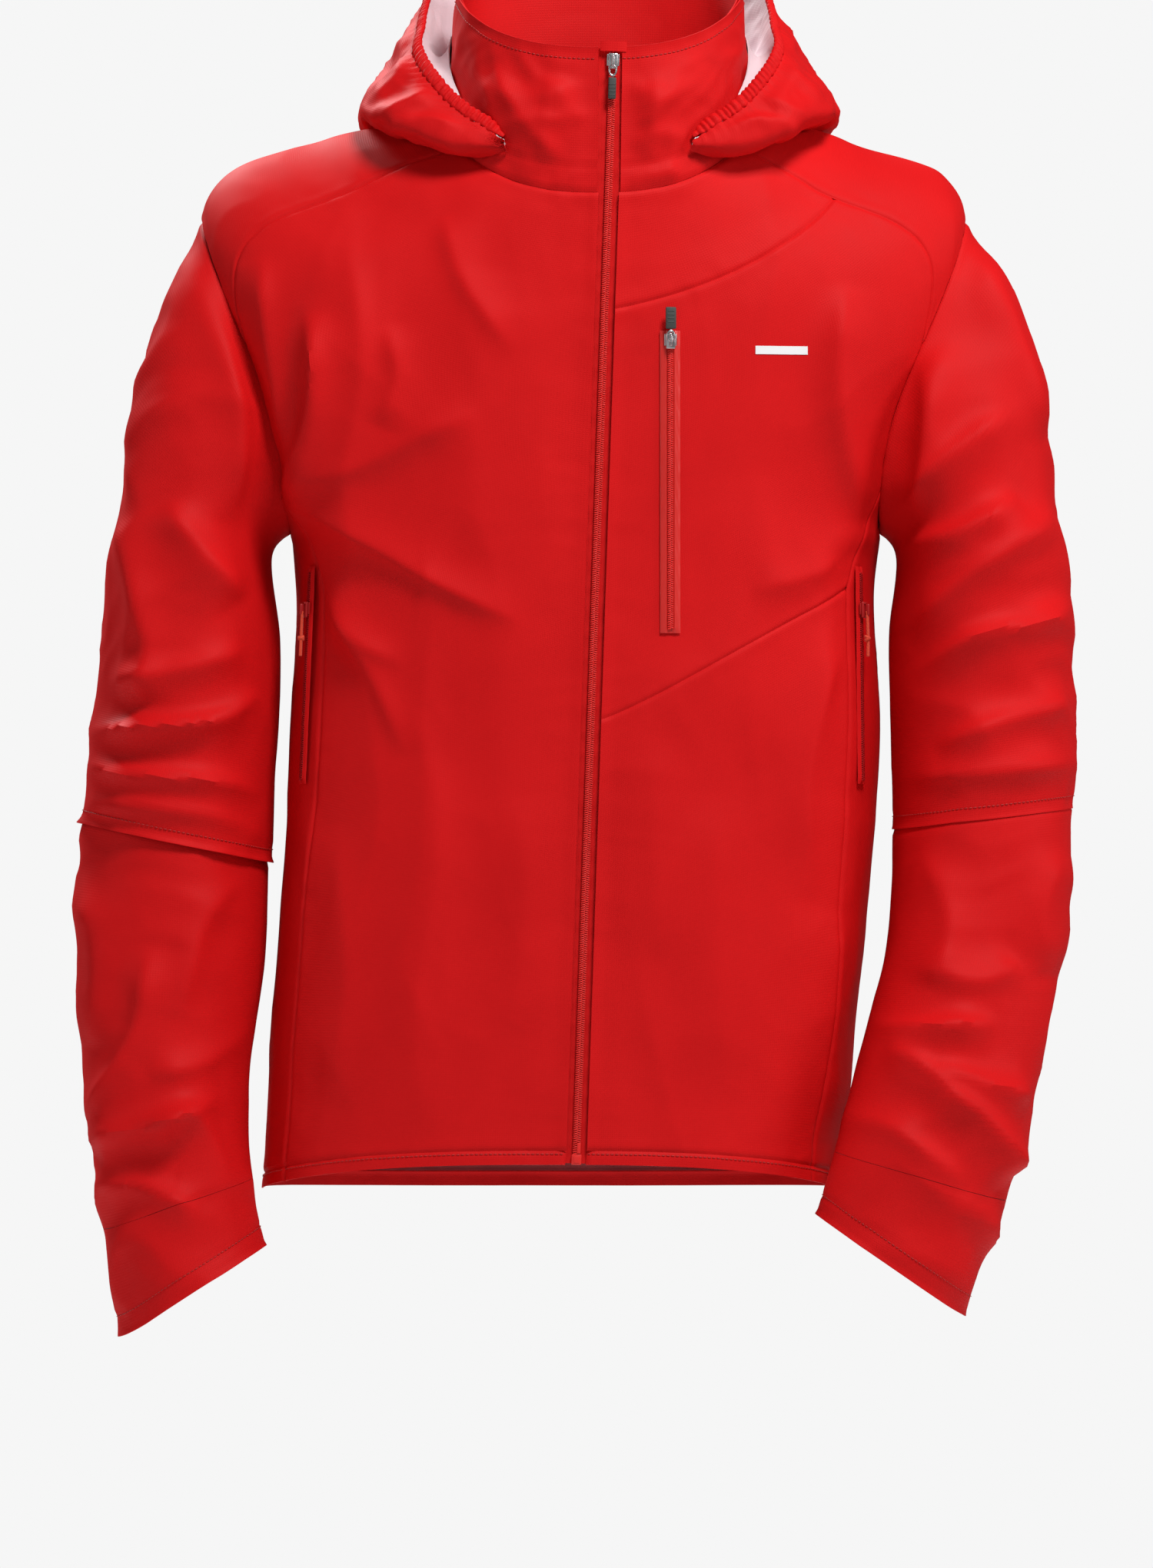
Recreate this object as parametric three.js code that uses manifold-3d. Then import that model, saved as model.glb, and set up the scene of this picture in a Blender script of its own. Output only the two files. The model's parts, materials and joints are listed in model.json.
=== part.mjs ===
// Red hardshell jacket, zipped up, sleeves hanging, hood worn down behind the collar.
// Millimetres, +Z up, the front faces -Y. The origin is where a hook carries the hang loop,
// at the middle of the inside of the back neck.
import * as THREE from "three";
import { mergeVertices } from "three/addons/utils/BufferGeometryUtils.js";
import Module from "manifold-3d";

const wasm = await Module();
wasm.setup();

// ---------------------------------------------------------------- driving sizes
const WALL = 1.2; // laminated shell fabric with its seam tape, drawn as one thickness
const SEAM_GAP = 0.8; // between two panels that are sewn to each other
const LAYER_GAP = 0.5; // between two layers that lie on each other
const CLEARANCE = 0.4; // between small hard pieces
const LINING_DEPTH = WALL + LAYER_GAP + 0.3; // from the shell's face to the face of what backs it

const LENGTH = 735; // from the back neck down to the front hem
const CHEST_HALF_WIDTH = 204;

// The main zip is straight: it leans a little sideways and forwards on the way down.
const ZIP_TOP = new THREE.Vector3(20.4, -160.3, 29);
const ZIP_BOTTOM = new THREE.Vector3(-5.2, -206.3, -LENGTH);
const ZIP_GAP = 14; // between the two front edges, where the zip shows

// Rings of the body, from the neck seam to the hem. yFront follows the zip.
const BODY_RINGS = [
  { centre: 10, halfWidth: 106, yBack: 5.5, zSide: -16, zFront: -71, zBack: -14, power: 2.4 },
  { centre: 2, halfWidth: 181, yBack: 40, zSide: -28, zFront: -108, zBack: -45, power: 2.2 },
  {
    centre: 0, halfWidth: CHEST_HALF_WIDTH + 62, yBack: 56,
    zSide: -84, zFront: -170, zBack: -125, power: 2.4,
  },
  { centre: 1, halfWidth: CHEST_HALF_WIDTH, yBack: 66, zSide: -300, zFront: -300, zBack: -300, power: 2.6 },
  {
    centre: -1, halfWidth: CHEST_HALF_WIDTH + 1, yBack: 68,
    zSide: -470, zFront: -470, zBack: -470, power: 2.6,
  },
  {
    centre: -24, halfWidth: CHEST_HALF_WIDTH - 5, yBack: 74,
    zSide: -LENGTH - 22, zFront: -LENGTH, zBack: -LENGTH - 27, power: 2.6,
  },
];
const ARMHOLE = { top: 2, bottom: 3, halfAngle: 26, steps: 24 };
const HEM_BAND = 18;
const INSIDE = new THREE.Vector3(0, -75, -20); // a panel's face looks away from this far in and below

// Seams of the body, as angle from the middle of the front in degrees and ring number.
const YOKE_NECK_ANGLE = 62;
const YOKE_ARMHOLE_STEP = 5; // of 24 steps round the armhole, from its top
const BACK_YOKE_NECK_ANGLE = 125;
const SIDE_ARMHOLE_STEP = 9;
const FRONT_SIDE_ANGLES = { chest: 61, waist: 59, hem: 62 };
const BACK_SIDE_ANGLES = { chest: 118, waist: 120, hem: 118 };
const CHEST_SEAM_UPPER_Z = -151; // where the upper chest seam meets the zip
const CHEST_SEAM_LOWER_Z = -432;

// The collar stands on the neck seam.
const COLLAR_TOP = { centre: 11, halfWidth: 108, yBack: 20, zSide: 76, zFront: 29, zBack: 92, power: 2.4 };
const COLLAR_LINING_INSET = 24; // from the zip to the lining's front edge

// The hood lies folded back. Each section follows the shoulders as far as the ring number reach,
// turns up, and its wall is given as distance out from the neck seam and height above it.
const HOOD_FRONT_ANGLE = 36;
const HOOD_SECTIONS = {
  front: { reach: 0.12, turn: [3, 4], wall: [[12, 17], [10, 20], [8, 23]] },
  side: { reach: 0.55, turn: [10, 10], wall: [[50, 34], [34, 54], [18, 72]] },
  back: { reach: 1.75, turn: [28, -2], wall: [[106, -60], [108, -5], [84, 56]] },
};
const HOOD_REST = 2 * WALL + LAYER_GAP; // the hood's two layers, where they lie on the shoulders
const HOOD_LIFTS = [WALL + 0.3, HOOD_REST + 1.1, HOOD_REST + 2.1]; // from the neck seam outwards
const HOOD_CENTRE_ANGLE = 150; // where the side panels meet the centre panel
const RIM = { thick: 4, deep: 9 };

// Sleeve rings after the armhole: the outer and inner edge as seen from the front (distance out
// from the chest's side, height), the middle and half of the depth. The two sleeves hang differently.
const SLEEVE_RINGS = {
  right: [
    { outer: [95, -170], inner: [13, -318], y: -68, halfDepth: 66 },
    { outer: [117, -300], inner: [8, -372], y: -68, halfDepth: 74 },
    { outer: [132, -400], inner: [8, -430], y: -70, halfDepth: 74 },
    { outer: [143, -500], inner: [15, -528], y: -74, halfDepth: 70 },
    { outer: [144, -590], inner: [18, -600], y: -84, halfDepth: 66 },
    { outer: [139, -680], inner: [28, -680], y: -98, halfDepth: 60 },
    { outer: [128, -783], inner: [25, -748], y: -116, halfDepth: 54 },
    { outer: [113, -856], inner: [16, -794], y: -128, halfDepth: 50 },
  ],
  left: [
    { outer: [101, -170], inner: [14, -318], y: -68, halfDepth: 66 },
    { outer: [128, -300], inner: [9, -372], y: -68, halfDepth: 74 },
    { outer: [134, -395], inner: [9, -425], y: -72, halfDepth: 74 },
    { outer: [136, -490], inner: [11, -505], y: -82, halfDepth: 70 },
    { outer: [126, -585], inner: [6, -585], y: -102, halfDepth: 64 },
    { outer: [110, -665], inner: [-12, -655], y: -128, halfDepth: 58 },
    { outer: [88, -762], inner: [-32, -728], y: -150, halfDepth: 52 },
    { outer: [54, -839], inner: [-44, -771], y: -158, halfDepth: 48 },
  ],
};
const ELBOW_RING = 3; // the ring that ends the upper sleeve
const CUFF_RING = 6; // the ring that ends the lower sleeve
const SLEEVE_SIDES = 24;
const ELBOW_GAP = 1;
const SLEEVE_START = 1.4; // the turned seam allowance between the armhole and the sleeve

// Zips
const TAPE = { halfWidth: 10, thick: 0.7, depth: WALL + 0.8 }; // depth of its face behind the front panels
const COIL = { halfWidth: 2.7, thick: 1.8, proud: 0.2 };
const ZIP_ENDS = { stop: 3, box: 7, boxHalfWidth: 3.4, boxProud: 1, pin: 8 };
const STORM_FLAP = { halfWidth: 15, thick: 1, short: 4 };
const GARAGE = { overEdge: 2, below: 3.4, above: 4, thick: 1.2 }; // the flap that covers the zip's top
const CHEST_ZIP = { x: 58.8, zTop: -166, zBottom: -373, halfWidth: 7, thick: 0.7 };
const VENT_ZIP = { angle: 66, zTop: -326, zBottom: -476, halfWidth: 5, thick: 0.7, lift: 1.6 };
const SMALL_COIL = { halfWidth: 2.2, thick: 1.5 };
const SLIDER = { top: 4.6, bottom: 3.2, waist: 3.6, corner: 2, nose: 1.4, length: 11, thick: 2 };
const BRIDGE = { halfWidth: 0.9, span: 8, rise: 3.4, bar: 1 };
const LINK = { halfWidth: 3, arm: 1.4, thick: 1.2, reach: 8 };
const GRIP = { halfWidth: 3.1, length: 15, thick: 2.4 };
const VENT_CORD = { radius: 1.1, drop: 15, tail: 9 };
const KNOT = { radius: 2.6, height: 5 };

const HANG_LOOP = { halfWidth: 14, drop: 14, radius: 1.5 };
const NECK_LABEL = { halfAngle: 10, low: 0.24, high: 0.5, thick: 0.5 };
const CHEST_MARK = { x: 135, z: -179, halfWidth: 18, halfHeight: 3, thick: 0.5, rest: 0.6 };
const POCKET_BAG = { inner: 34, outer: 150, zTop: -190, zBottom: -395, thick: 1 };

// ---------------------------------------------------------------- materials
const finish = (colour, roughness, metalness = 0) =>
  new THREE.MeshStandardMaterial({ color: colour, roughness, metalness });
const SHELL = finish(0xcf1f1c, 0.62);
const ZIP_RED = finish(0xd8332c, 0.5);
const LINING = finish(0xe1d2d7, 0.7);
const SILVER = finish(0xb9bbbd, 0.3, 1);
const RUBBER = finish(0x3a3d3a, 0.6);
const CORD_RED = finish(0xd9401f, 0.7);
const WHITE = finish(0xf2f2f2, 0.5);

// ---------------------------------------------------------------- small helpers
const rad = THREE.MathUtils.degToRad;
const mix = THREE.MathUtils.lerp;
const V = (x, y, z) => new THREE.Vector3(x, y, z);

// Catmull-Rom value at a fractional place in a list of numbers.
function along(list, t) {
  const i = Math.min(Math.max(Math.floor(t), 0), list.length - 2);
  const f = t - i;
  const a = list[Math.max(i - 1, 0)];
  const b = list[i];
  const c = list[i + 1];
  const d = list[Math.min(i + 2, list.length - 1)];
  const cubic = (2 * a - 5 * b + 4 * c - d) * f * f + (3 * b - a - 3 * c + d) * f * f * f;
  return 0.5 * (2 * b + (c - a) * f + cubic);
}

const signedPower = (value, power) => Math.sign(value) * Math.abs(value) ** power;

// The zip's point at a height.
function zipPoint(z) {
  return ZIP_BOTTOM.clone().lerp(ZIP_TOP, (z - ZIP_BOTTOM.z) / (ZIP_TOP.z - ZIP_BOTTOM.z));
}

// A point of a ring: angle 0 is the middle of the front, 90 is the wearer's left, 180 the back.
function ringPoint(ring, angle) {
  const c = Math.cos(rad(angle));
  const s = Math.sin(rad(angle));
  const zEnd = c > 0 ? ring.zFront : ring.zBack;
  const z = ring.zSide + (zEnd - ring.zSide) * Math.abs(c) ** 1.3;
  const yFront = zipPoint(ring.zFront).y;
  const middle = (yFront + ring.yBack) / 2;
  const halfDepth = (ring.yBack - yFront) / 2;
  const x = ring.centre + ring.halfWidth * signedPower(s, 2 / ring.power);
  return V(x, middle - halfDepth * signedPower(c, 2 / ring.power), z);
}

// The body's outer surface at an angle and a fractional ring number.
function bodyPoint(angle, level) {
  const keys = Object.keys(BODY_RINGS[0]);
  const ring = {};
  for (const key of keys) ring[key] = along(BODY_RINGS.map((r) => r[key]), level);
  return ringPoint(ring, angle);
}

// A thin solid on a grid of points: grid[i][j] is its outer face, and the wall lies behind it.
// outward points roughly the way the outer face looks; closed grids wrap round in i.
function slab(grid, wall, { closed = false, lift = 0 } = {}) {
  const m = grid.length;
  const n = grid[0].length;
  const at = (i, j) => {
    const k = closed ? (i + m) % m : Math.min(Math.max(i, 0), m - 1);
    return grid[k][Math.min(Math.max(j, 0), n - 1)];
  };
  const position = [];
  const normals = grid.map((column, i) =>
    column.map((_, j) => {
      const du = at(i + 1, j).clone().sub(at(i - 1, j));
      const dv = at(i, j + 1).clone().sub(at(i, j - 1));
      return du.cross(dv).normalize();
    }),
  );
  for (const depth of [lift, lift - wall])
    grid.forEach((column, i) =>
      column.forEach((p, j) => position.push(...p.clone().addScaledVector(normals[i][j], depth))),
    );
  const index = [];
  const id = (i, j, layer) => layer * m * n + ((i + m) % m) * n + j;
  const quad = (a, b, c, d) => index.push(a, b, c, a, c, d);
  const spans = closed ? m : m - 1;
  for (let i = 0; i < spans; i++) {
    for (let j = 0; j < n - 1; j++) {
      quad(id(i, j, 0), id(i + 1, j, 0), id(i + 1, j + 1, 0), id(i, j + 1, 0));
      quad(id(i, j, 1), id(i, j + 1, 1), id(i + 1, j + 1, 1), id(i + 1, j, 1));
    }
    quad(id(i, 0, 0), id(i, 0, 1), id(i + 1, 0, 1), id(i + 1, 0, 0));
    quad(id(i, n - 1, 0), id(i + 1, n - 1, 0), id(i + 1, n - 1, 1), id(i, n - 1, 1));
  }
  if (!closed)
    for (let j = 0; j < n - 1; j++) {
      quad(id(0, j, 0), id(0, j + 1, 0), id(0, j + 1, 1), id(0, j, 1));
      quad(id(m - 1, j, 0), id(m - 1, j, 1), id(m - 1, j + 1, 1), id(m - 1, j + 1, 0));
    }
  const geometry = new THREE.BufferGeometry();
  geometry.setAttribute("position", new THREE.Float32BufferAttribute(position, 3));
  geometry.setIndex(index);
  return geometry;
}

// Moves the border of a grid of points inwards, so that two pieces that share a seam stay apart.
function trimmed(grid, gap) {
  const out = grid.map((column) => column.map((p) => p.clone()));
  const m = grid.length - 1;
  const n = grid[0].length - 1;
  const at = (i, j) => grid[Math.min(Math.max(i, 0), m)][Math.min(Math.max(j, 0), n)];
  const pull = (i, j, di, dj) => {
    const step = at(i + di, j + dj).clone().sub(grid[i][j]);
    const border = at(i + dj, j + di).clone().sub(at(i - dj, j - di)).normalize();
    step.addScaledVector(border, -step.dot(border)).normalize();
    out[i][j].addScaledVector(step, gap / 2);
  };
  for (let j = 0; j <= n; j++) {
    pull(0, j, 1, 0);
    pull(m, j, -1, 0);
  }
  for (let i = 0; i <= m; i++) {
    pull(i, 0, 0, 1);
    pull(i, n, 0, -1);
  }
  return out;
}

// A Coons patch between four seams, each a list of [angle, level]. bottom and top run the same
// way, and so do left and right.
function patch({ bottom, top, left, right }) {
  const m = bottom.length - 1;
  const n = left.length - 1;
  return bottom.map((_, i) =>
    left.map((_, j) => {
      const u = i / m;
      const v = j / n;
      return [0, 1].map((k) => {
        const ruled = mix(bottom[i][k], top[i][k], v) + mix(left[j][k], right[j][k], u);
        const low = mix(bottom[0][k], bottom[m][k], u);
        return ruled - mix(low, mix(top[0][k], top[m][k], u), v);
      });
    }),
  );
}

const onBody = (cells) => cells.map((column) => column.map(([a, l]) => bodyPoint(a, l)));
const span = (from, to, steps) =>
  Array.from({ length: steps + 1 }, (_, i) => from.map((f, k) => mix(f, to[k], i / steps)));
const chain = (...lists) => lists.flatMap((list, i) => (i ? list.slice(1) : list));
const reversed = (list) => [...list].reverse();

const root = new THREE.Group();
function add(name, geometry, material, parent = root) {
  const mesh = new THREE.Mesh(geometry, material);
  mesh.name = name;
  parent.add(mesh);
  return mesh;
}

function solidOf(geometry) {
  const g = geometry.clone();
  for (const name of Object.keys(g.attributes)) if (name !== "position") g.deleteAttribute(name);
  const merged = mergeVertices(g, 1e-4);
  return new wasm.Manifold(
    new wasm.Mesh({
      numProp: 3,
      vertProperties: merged.attributes.position.array,
      triVerts: new Uint32Array(merged.index.array),
    }),
  );
}

function geometryOf(solid) {
  const mesh = solid.getMesh();
  const g = new THREE.BufferGeometry();
  g.setAttribute("position", new THREE.BufferAttribute(mesh.vertProperties, 3));
  g.setIndex(new THREE.BufferAttribute(mesh.triVerts, 1));
  return g;
}

const joined = (...parts) => geometryOf(parts.map(solidOf).reduce((a, b) => a.add(b)));

function box(x0, x1, y0, y1, z0, z1) {
  const g = new THREE.BoxGeometry(x1 - x0, y1 - y0, z1 - z0);
  return g.translate((x0 + x1) / 2, (y0 + y1) / 2, (z0 + z1) / 2);
}

// A flat outline in X and Z, with its thickness from yFront back to yBack.
function plate(shape, yFront, yBack) {
  const g = new THREE.ExtrudeGeometry(shape, {
    depth: yBack - yFront, bevelEnabled: false, curveSegments: 4,
  });
  return g.rotateX(Math.PI / 2).translate(0, yBack, 0);
}

function roundedBar(halfWidth, z0, z1, corner) {
  const s = new THREE.Shape();
  s.moveTo(-halfWidth + corner, z0);
  s.lineTo(halfWidth - corner, z0);
  s.absarc(halfWidth - corner, z0 + corner, corner, -Math.PI / 2, 0, false);
  s.lineTo(halfWidth, z1 - corner);
  s.absarc(halfWidth - corner, z1 - corner, corner, 0, Math.PI / 2, false);
  s.lineTo(-halfWidth + corner, z1);
  s.absarc(-halfWidth + corner, z1 - corner, corner, Math.PI / 2, Math.PI, false);
  s.lineTo(-halfWidth, z0 + corner);
  s.absarc(-halfWidth + corner, z0 + corner, corner, Math.PI, Math.PI * 1.5, false);
  return s;
}

// ---------------------------------------------------------------- seams of the body
// side is +1 for the wearer's left and -1 for the right.

// The ring number at which a line down the front at an angle has a given height.
function levelAt(angle, z) {
  let low = 0;
  let high = BODY_RINGS.length - 1;
  for (let i = 0; i < 40; i++) {
    const middle = (low + high) / 2;
    if (bodyPoint(angle, middle).z > z) low = middle;
    else high = middle;
  }
  return low;
}

// The angle at which the body's surface has a given x near the front, at a level.
function angleAt(x, level) {
  let low = -89;
  let high = 89;
  for (let i = 0; i < 40; i++) {
    const middle = (low + high) / 2;
    if (bodyPoint(middle, level).x < x) low = middle;
    else high = middle;
  }
  return low;
}

const HEM_LEVEL = BODY_RINGS.length - 1;
const BAND_LEVEL = HEM_LEVEL - HEM_BAND / (BODY_RINGS[4].zSide - BODY_RINGS[5].zSide);

function frontEdge(side, level) {
  const z = bodyPoint(3, level).z;
  return [angleAt(zipPoint(z).x + (side * ZIP_GAP) / 2, level), level];
}
const frontEdgeAtHeight = (side, z) => frontEdge(side, levelAt(3 * side, z));
const frontEdgeRun = (side, from, to, steps) =>
  span([from], [to], steps).map(([level]) => frontEdge(side, level));

function armhole(side, step) {
  const turn = (2 * Math.PI * step) / ARMHOLE.steps;
  const middle = (ARMHOLE.top + ARMHOLE.bottom) / 2;
  const half = (ARMHOLE.bottom - ARMHOLE.top) / 2;
  return [side * (90 - ARMHOLE.halfAngle * Math.sin(turn)), middle - half * Math.cos(turn)];
}
const armholeRun = (side, from, to) =>
  span([from], [to], Math.abs(to - from)).map(([step]) => armhole(side, step));

const YOKE_STEPS = 4;
const CHEST_SEAM_STEP = 2; // the yoke seam's point where the upper chest seam ends
function yokeSeam(side, neckAngle, armholeStep) {
  const end = armhole(1, armholeStep);
  const bow = neckAngle < 90 ? -6 : 3;
  return span([neckAngle, 0], end, YOKE_STEPS).map(([angle, level], i) => [
    side * (angle + bow * Math.sin((Math.PI * i) / YOKE_STEPS)), level,
  ]);
}

// From the armhole down to the hem, with the chest seam's end at its second point.
function sideSeam(side, angles, armholeStep, bottom) {
  const start = armhole(1, armholeStep);
  const points = [
    start, [angles.chest, 3.25], [mix(angles.chest, angles.waist, 0.5), 3.6], [angles.waist, 4],
    [mix(angles.waist, angles.hem, 0.5), 4.45], [angles.hem, bottom],
  ];
  return points.map(([angle, level]) => [side * angle, level]);
}

const neckRun = (side, from, to, steps) =>
  span([from, 0], [to, 0], steps).map(([angle, level]) => [side * angle, level]);
const levelRun = (side, level, from, to, steps) =>
  span([from], [to], steps).map(([angle]) => [side * angle, level]);

const panel = (name, edges, material = SHELL) =>
  add(name, slab(oriented(trimmed(onBody(patch(edges)), SEAM_GAP)), WALL), material);

// Reverses a grid whose faces would look into the body.
function oriented(grid) {
  const m = Math.floor(grid.length / 2);
  const n = Math.floor(grid[0].length / 2);
  const du = grid[m][n].clone().sub(grid[m - 1][n]);
  const dv = grid[m][n].clone().sub(grid[m][n - 1]);
  const out = grid[m][n].clone().sub(V(INSIDE.x, INSIDE.y, grid[m][n].z + INSIDE.z));
  return du.cross(dv).dot(out) < 0 ? reversed(grid) : grid;
}

// ---------------------------------------------------------------- body panels
const NECK_STEPS = 4;
const HEM_STEPS = NECK_STEPS + YOKE_STEPS;

function frontPieces(side) {
  const yoke = yokeSeam(side, YOKE_NECK_ANGLE, YOKE_ARMHOLE_STEP);
  const seam = sideSeam(side, FRONT_SIDE_ANGLES, SIDE_ARMHOLE_STEP, BAND_LEVEL);
  const hem = span(frontEdge(side, BAND_LEVEL), seam.at(-1), HEM_STEPS);
  const neck = neckRun(side, side * frontEdge(side, 0)[0], YOKE_NECK_ANGLE, NECK_STEPS);
  const outer = chain(reversed(seam), armholeRun(side, SIDE_ARMHOLE_STEP, YOKE_ARMHOLE_STEP));
  return { yoke, seam, hem, neck, outer };
}

function rightFront() {
  const { yoke, hem, neck, outer } = frontPieces(-1);
  const edge = frontEdgeRun(-1, BAND_LEVEL, 0, outer.length - 1);
  panel("right_front_panel", { bottom: hem, top: chain(neck, yoke), left: edge, right: outer });
}

// The wearer's left front is three pieces: two slanting seams cross it.
function leftFront() {
  const { yoke, seam, hem, neck, outer } = frontPieces(1);
  const upperStart = frontEdgeAtHeight(1, CHEST_SEAM_UPPER_Z);
  const lowerStart = frontEdgeAtHeight(1, CHEST_SEAM_LOWER_Z);
  const upper = span(upperStart, yoke[CHEST_SEAM_STEP], 6);
  panel("left_upper_panel", {
    bottom: reversed(yoke.slice(0, CHEST_SEAM_STEP + 1)),
    top: frontEdgeRun(1, upperStart[1], 0, CHEST_SEAM_STEP),
    left: reversed(upper),
    right: span(yoke[0], neck[0], 6).map((_, i) => [mix(yoke[0][0], neck[0][0], i / 6), 0]),
  });
  const chestTop = chain(upper, yoke.slice(CHEST_SEAM_STEP));
  const chestOuter = outer.slice(seam.length - 2);
  const lower = span(lowerStart, seam[1], chestTop.length - 1);
  panel("left_chest_panel", {
    bottom: lower,
    top: chestTop,
    left: frontEdgeRun(1, lowerStart[1], upperStart[1], chestOuter.length - 1),
    right: chestOuter,
  });
  panel("left_lower_panel", {
    bottom: hem,
    top: lower,
    left: frontEdgeRun(1, BAND_LEVEL, lowerStart[1], seam.length - 2),
    right: reversed(seam.slice(1)),
  });
}

function sidePieces(side, name) {
  const front = sideSeam(side, FRONT_SIDE_ANGLES, SIDE_ARMHOLE_STEP, BAND_LEVEL);
  const back = sideSeam(side, BACK_SIDE_ANGLES, ARMHOLE.steps - SIDE_ARMHOLE_STEP, BAND_LEVEL);
  const under = armholeRun(side, SIDE_ARMHOLE_STEP, ARMHOLE.steps - SIDE_ARMHOLE_STEP);
  panel(name + "_side_panel", {
    bottom: span(front.at(-1), back.at(-1), under.length - 1),
    top: under,
    left: reversed(front),
    right: reversed(back),
  });
  const yokeFront = yokeSeam(side, YOKE_NECK_ANGLE, YOKE_ARMHOLE_STEP);
  const yokeBack = yokeSeam(side, BACK_YOKE_NECK_ANGLE, -YOKE_ARMHOLE_STEP);
  const cap = armholeRun(side, YOKE_ARMHOLE_STEP, -YOKE_ARMHOLE_STEP);
  panel(name + "_shoulder_yoke", {
    bottom: neckRun(side, YOKE_NECK_ANGLE, BACK_YOKE_NECK_ANGLE, cap.length - 1),
    top: cap,
    left: yokeFront,
    right: yokeBack,
  });
}

const BACK_STEPS = 10;
function backPieces() {
  const left = yokeSeam(1, BACK_YOKE_NECK_ANGLE, -YOKE_ARMHOLE_STEP);
  const right = yokeSeam(-1, BACK_YOKE_NECK_ANGLE, -YOKE_ARMHOLE_STEP).map(([a, l]) => [a + 360, l]);
  const across = span(left.at(-1), right.at(-1), BACK_STEPS);
  panel("back_yoke", {
    bottom: across,
    top: span(left[0], right[0], BACK_STEPS),
    left: reversed(left),
    right: reversed(right),
  });
  const edge = (side) =>
    chain(
      reversed(sideSeam(side, BACK_SIDE_ANGLES, ARMHOLE.steps - SIDE_ARMHOLE_STEP, BAND_LEVEL)),
      armholeRun(side, -SIDE_ARMHOLE_STEP, -YOKE_ARMHOLE_STEP),
    );
  const rightEdge = edge(-1).map(([a, l]) => [a + 360, l]);
  panel("back_panel", {
    bottom: span(edge(1)[0], rightEdge[0], BACK_STEPS),
    top: across,
    left: edge(1),
    right: rightEdge,
  });
}

function hemBands() {
  const band = (name, from, to, steps) =>
    panel(name, {
      bottom: levelRun(1, HEM_LEVEL, from, to, steps),
      top: levelRun(1, BAND_LEVEL, from, to, steps),
      left: span([from, HEM_LEVEL], [from, BAND_LEVEL], 1),
      right: span([to, HEM_LEVEL], [to, BAND_LEVEL], 1),
    });
  band("right_hem_band", -FRONT_SIDE_ANGLES.hem, frontEdge(-1, BAND_LEVEL)[0], HEM_STEPS);
  band("left_hem_band", frontEdge(1, BAND_LEVEL)[0], FRONT_SIDE_ANGLES.hem, HEM_STEPS);
  const round = 360 - 2 * FRONT_SIDE_ANGLES.hem;
  band("back_hem_band", FRONT_SIDE_ANGLES.hem, FRONT_SIDE_ANGLES.hem + round, 24);
}

// ---------------------------------------------------------------- collar and hood
function collarPoint(angle, t) {
  const low = bodyPoint(angle, 0);
  return low.lerp(ringPoint(COLLAR_TOP, angle), t);
}

// The angle on the neck seam that lies a distance from the zip.
function collarAngle(side, distance) {
  const z = ringPoint(BODY_RINGS[0], 0).z;
  return angleAt(zipPoint(z).x + side * distance, 0);
}

const COLLAR_STEPS = 36;
function collarPieces() {
  const grid = (from, to, low, high, rows) =>
    span([from], [to], COLLAR_STEPS).map(([a]) =>
      span([low], [high], rows).map(([t]) => collarPoint(a, t)),
    );
  const open = collarAngle(1, ZIP_GAP / 2 + 1);
  const shut = collarAngle(-1, ZIP_GAP / 2 + 1) + 360;
  const outer = trimmed(grid(open, shut, 0, 1, 3), SEAM_GAP);
  add("collar", slab(oriented(outer), WALL), SHELL);
  const liningOpen = collarAngle(1, COLLAR_LINING_INSET);
  const liningShut = collarAngle(-1, COLLAR_LINING_INSET) + 360;
  const inner = grid(liningOpen, liningShut, 0.04, 0.97, 3);
  add("collar_lining", slab(oriented(inner), WALL, { lift: -LINING_DEPTH }), SHELL);
}

// Outwards and level at an angle of the neck seam.
function awayFromNeck(angle) {
  const middle = (zipPoint(BODY_RINGS[0].zFront).y + BODY_RINGS[0].yBack) / 2;
  const seam = ringPoint(BODY_RINGS[0], angle);
  return V(seam.x - BODY_RINGS[0].centre, seam.y - middle, 0).normalize();
}

function aboveBody(angle, level, lift) {
  const du = bodyPoint(angle + 1, level).sub(bodyPoint(angle - 1, level));
  const dv = bodyPoint(angle, level + 0.02).sub(bodyPoint(angle, level - 0.02));
  const up = dv.cross(du).normalize();
  return bodyPoint(angle, level).addScaledVector(up, lift);
}

// A section of the hood at an angle, from the neck seam (t = 0) round to the rim (t = 1).
function hoodSection(angle, t) {
  const back = Math.abs(180 - angle); // 0 behind, up to 180 - HOOD_FRONT_ANGLE at the front
  const toBack = THREE.MathUtils.smoothstep(90 - back, 0, 90);
  const toFront = THREE.MathUtils.smoothstep(back, 90, 180 - HOOD_FRONT_ANGLE);
  const { front, side, back: behind } = HOOD_SECTIONS;
  const value = (pick) => mix(mix(pick(side), pick(behind), toBack), pick(front), toFront);
  const reach = value((s) => s.reach);
  const away = awayFromNeck(angle);
  const seam = ringPoint(BODY_RINGS[0], angle);
  const offset = (from, out, up) => from.clone().addScaledVector(away, out).add(V(0, 0, up));
  const points = [0.08, 0.45, 0.85].map((share, i) => aboveBody(angle, share * reach, HOOD_LIFTS[i]));
  const resting = aboveBody(angle, reach, HOOD_LIFTS[2]);
  points.push(offset(resting, value((s) => s.turn[0]), value((s) => s.turn[1])));
  for (let i = 0; i < 3; i++)
    points.push(offset(seam, value((s) => s.wall[i][0]), value((s) => s.wall[i][1])));
  const axis = (name) => along(points.map((p) => p[name]), t * (points.length - 1));
  return V(axis("x"), axis("y"), axis("z"));
}

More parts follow.
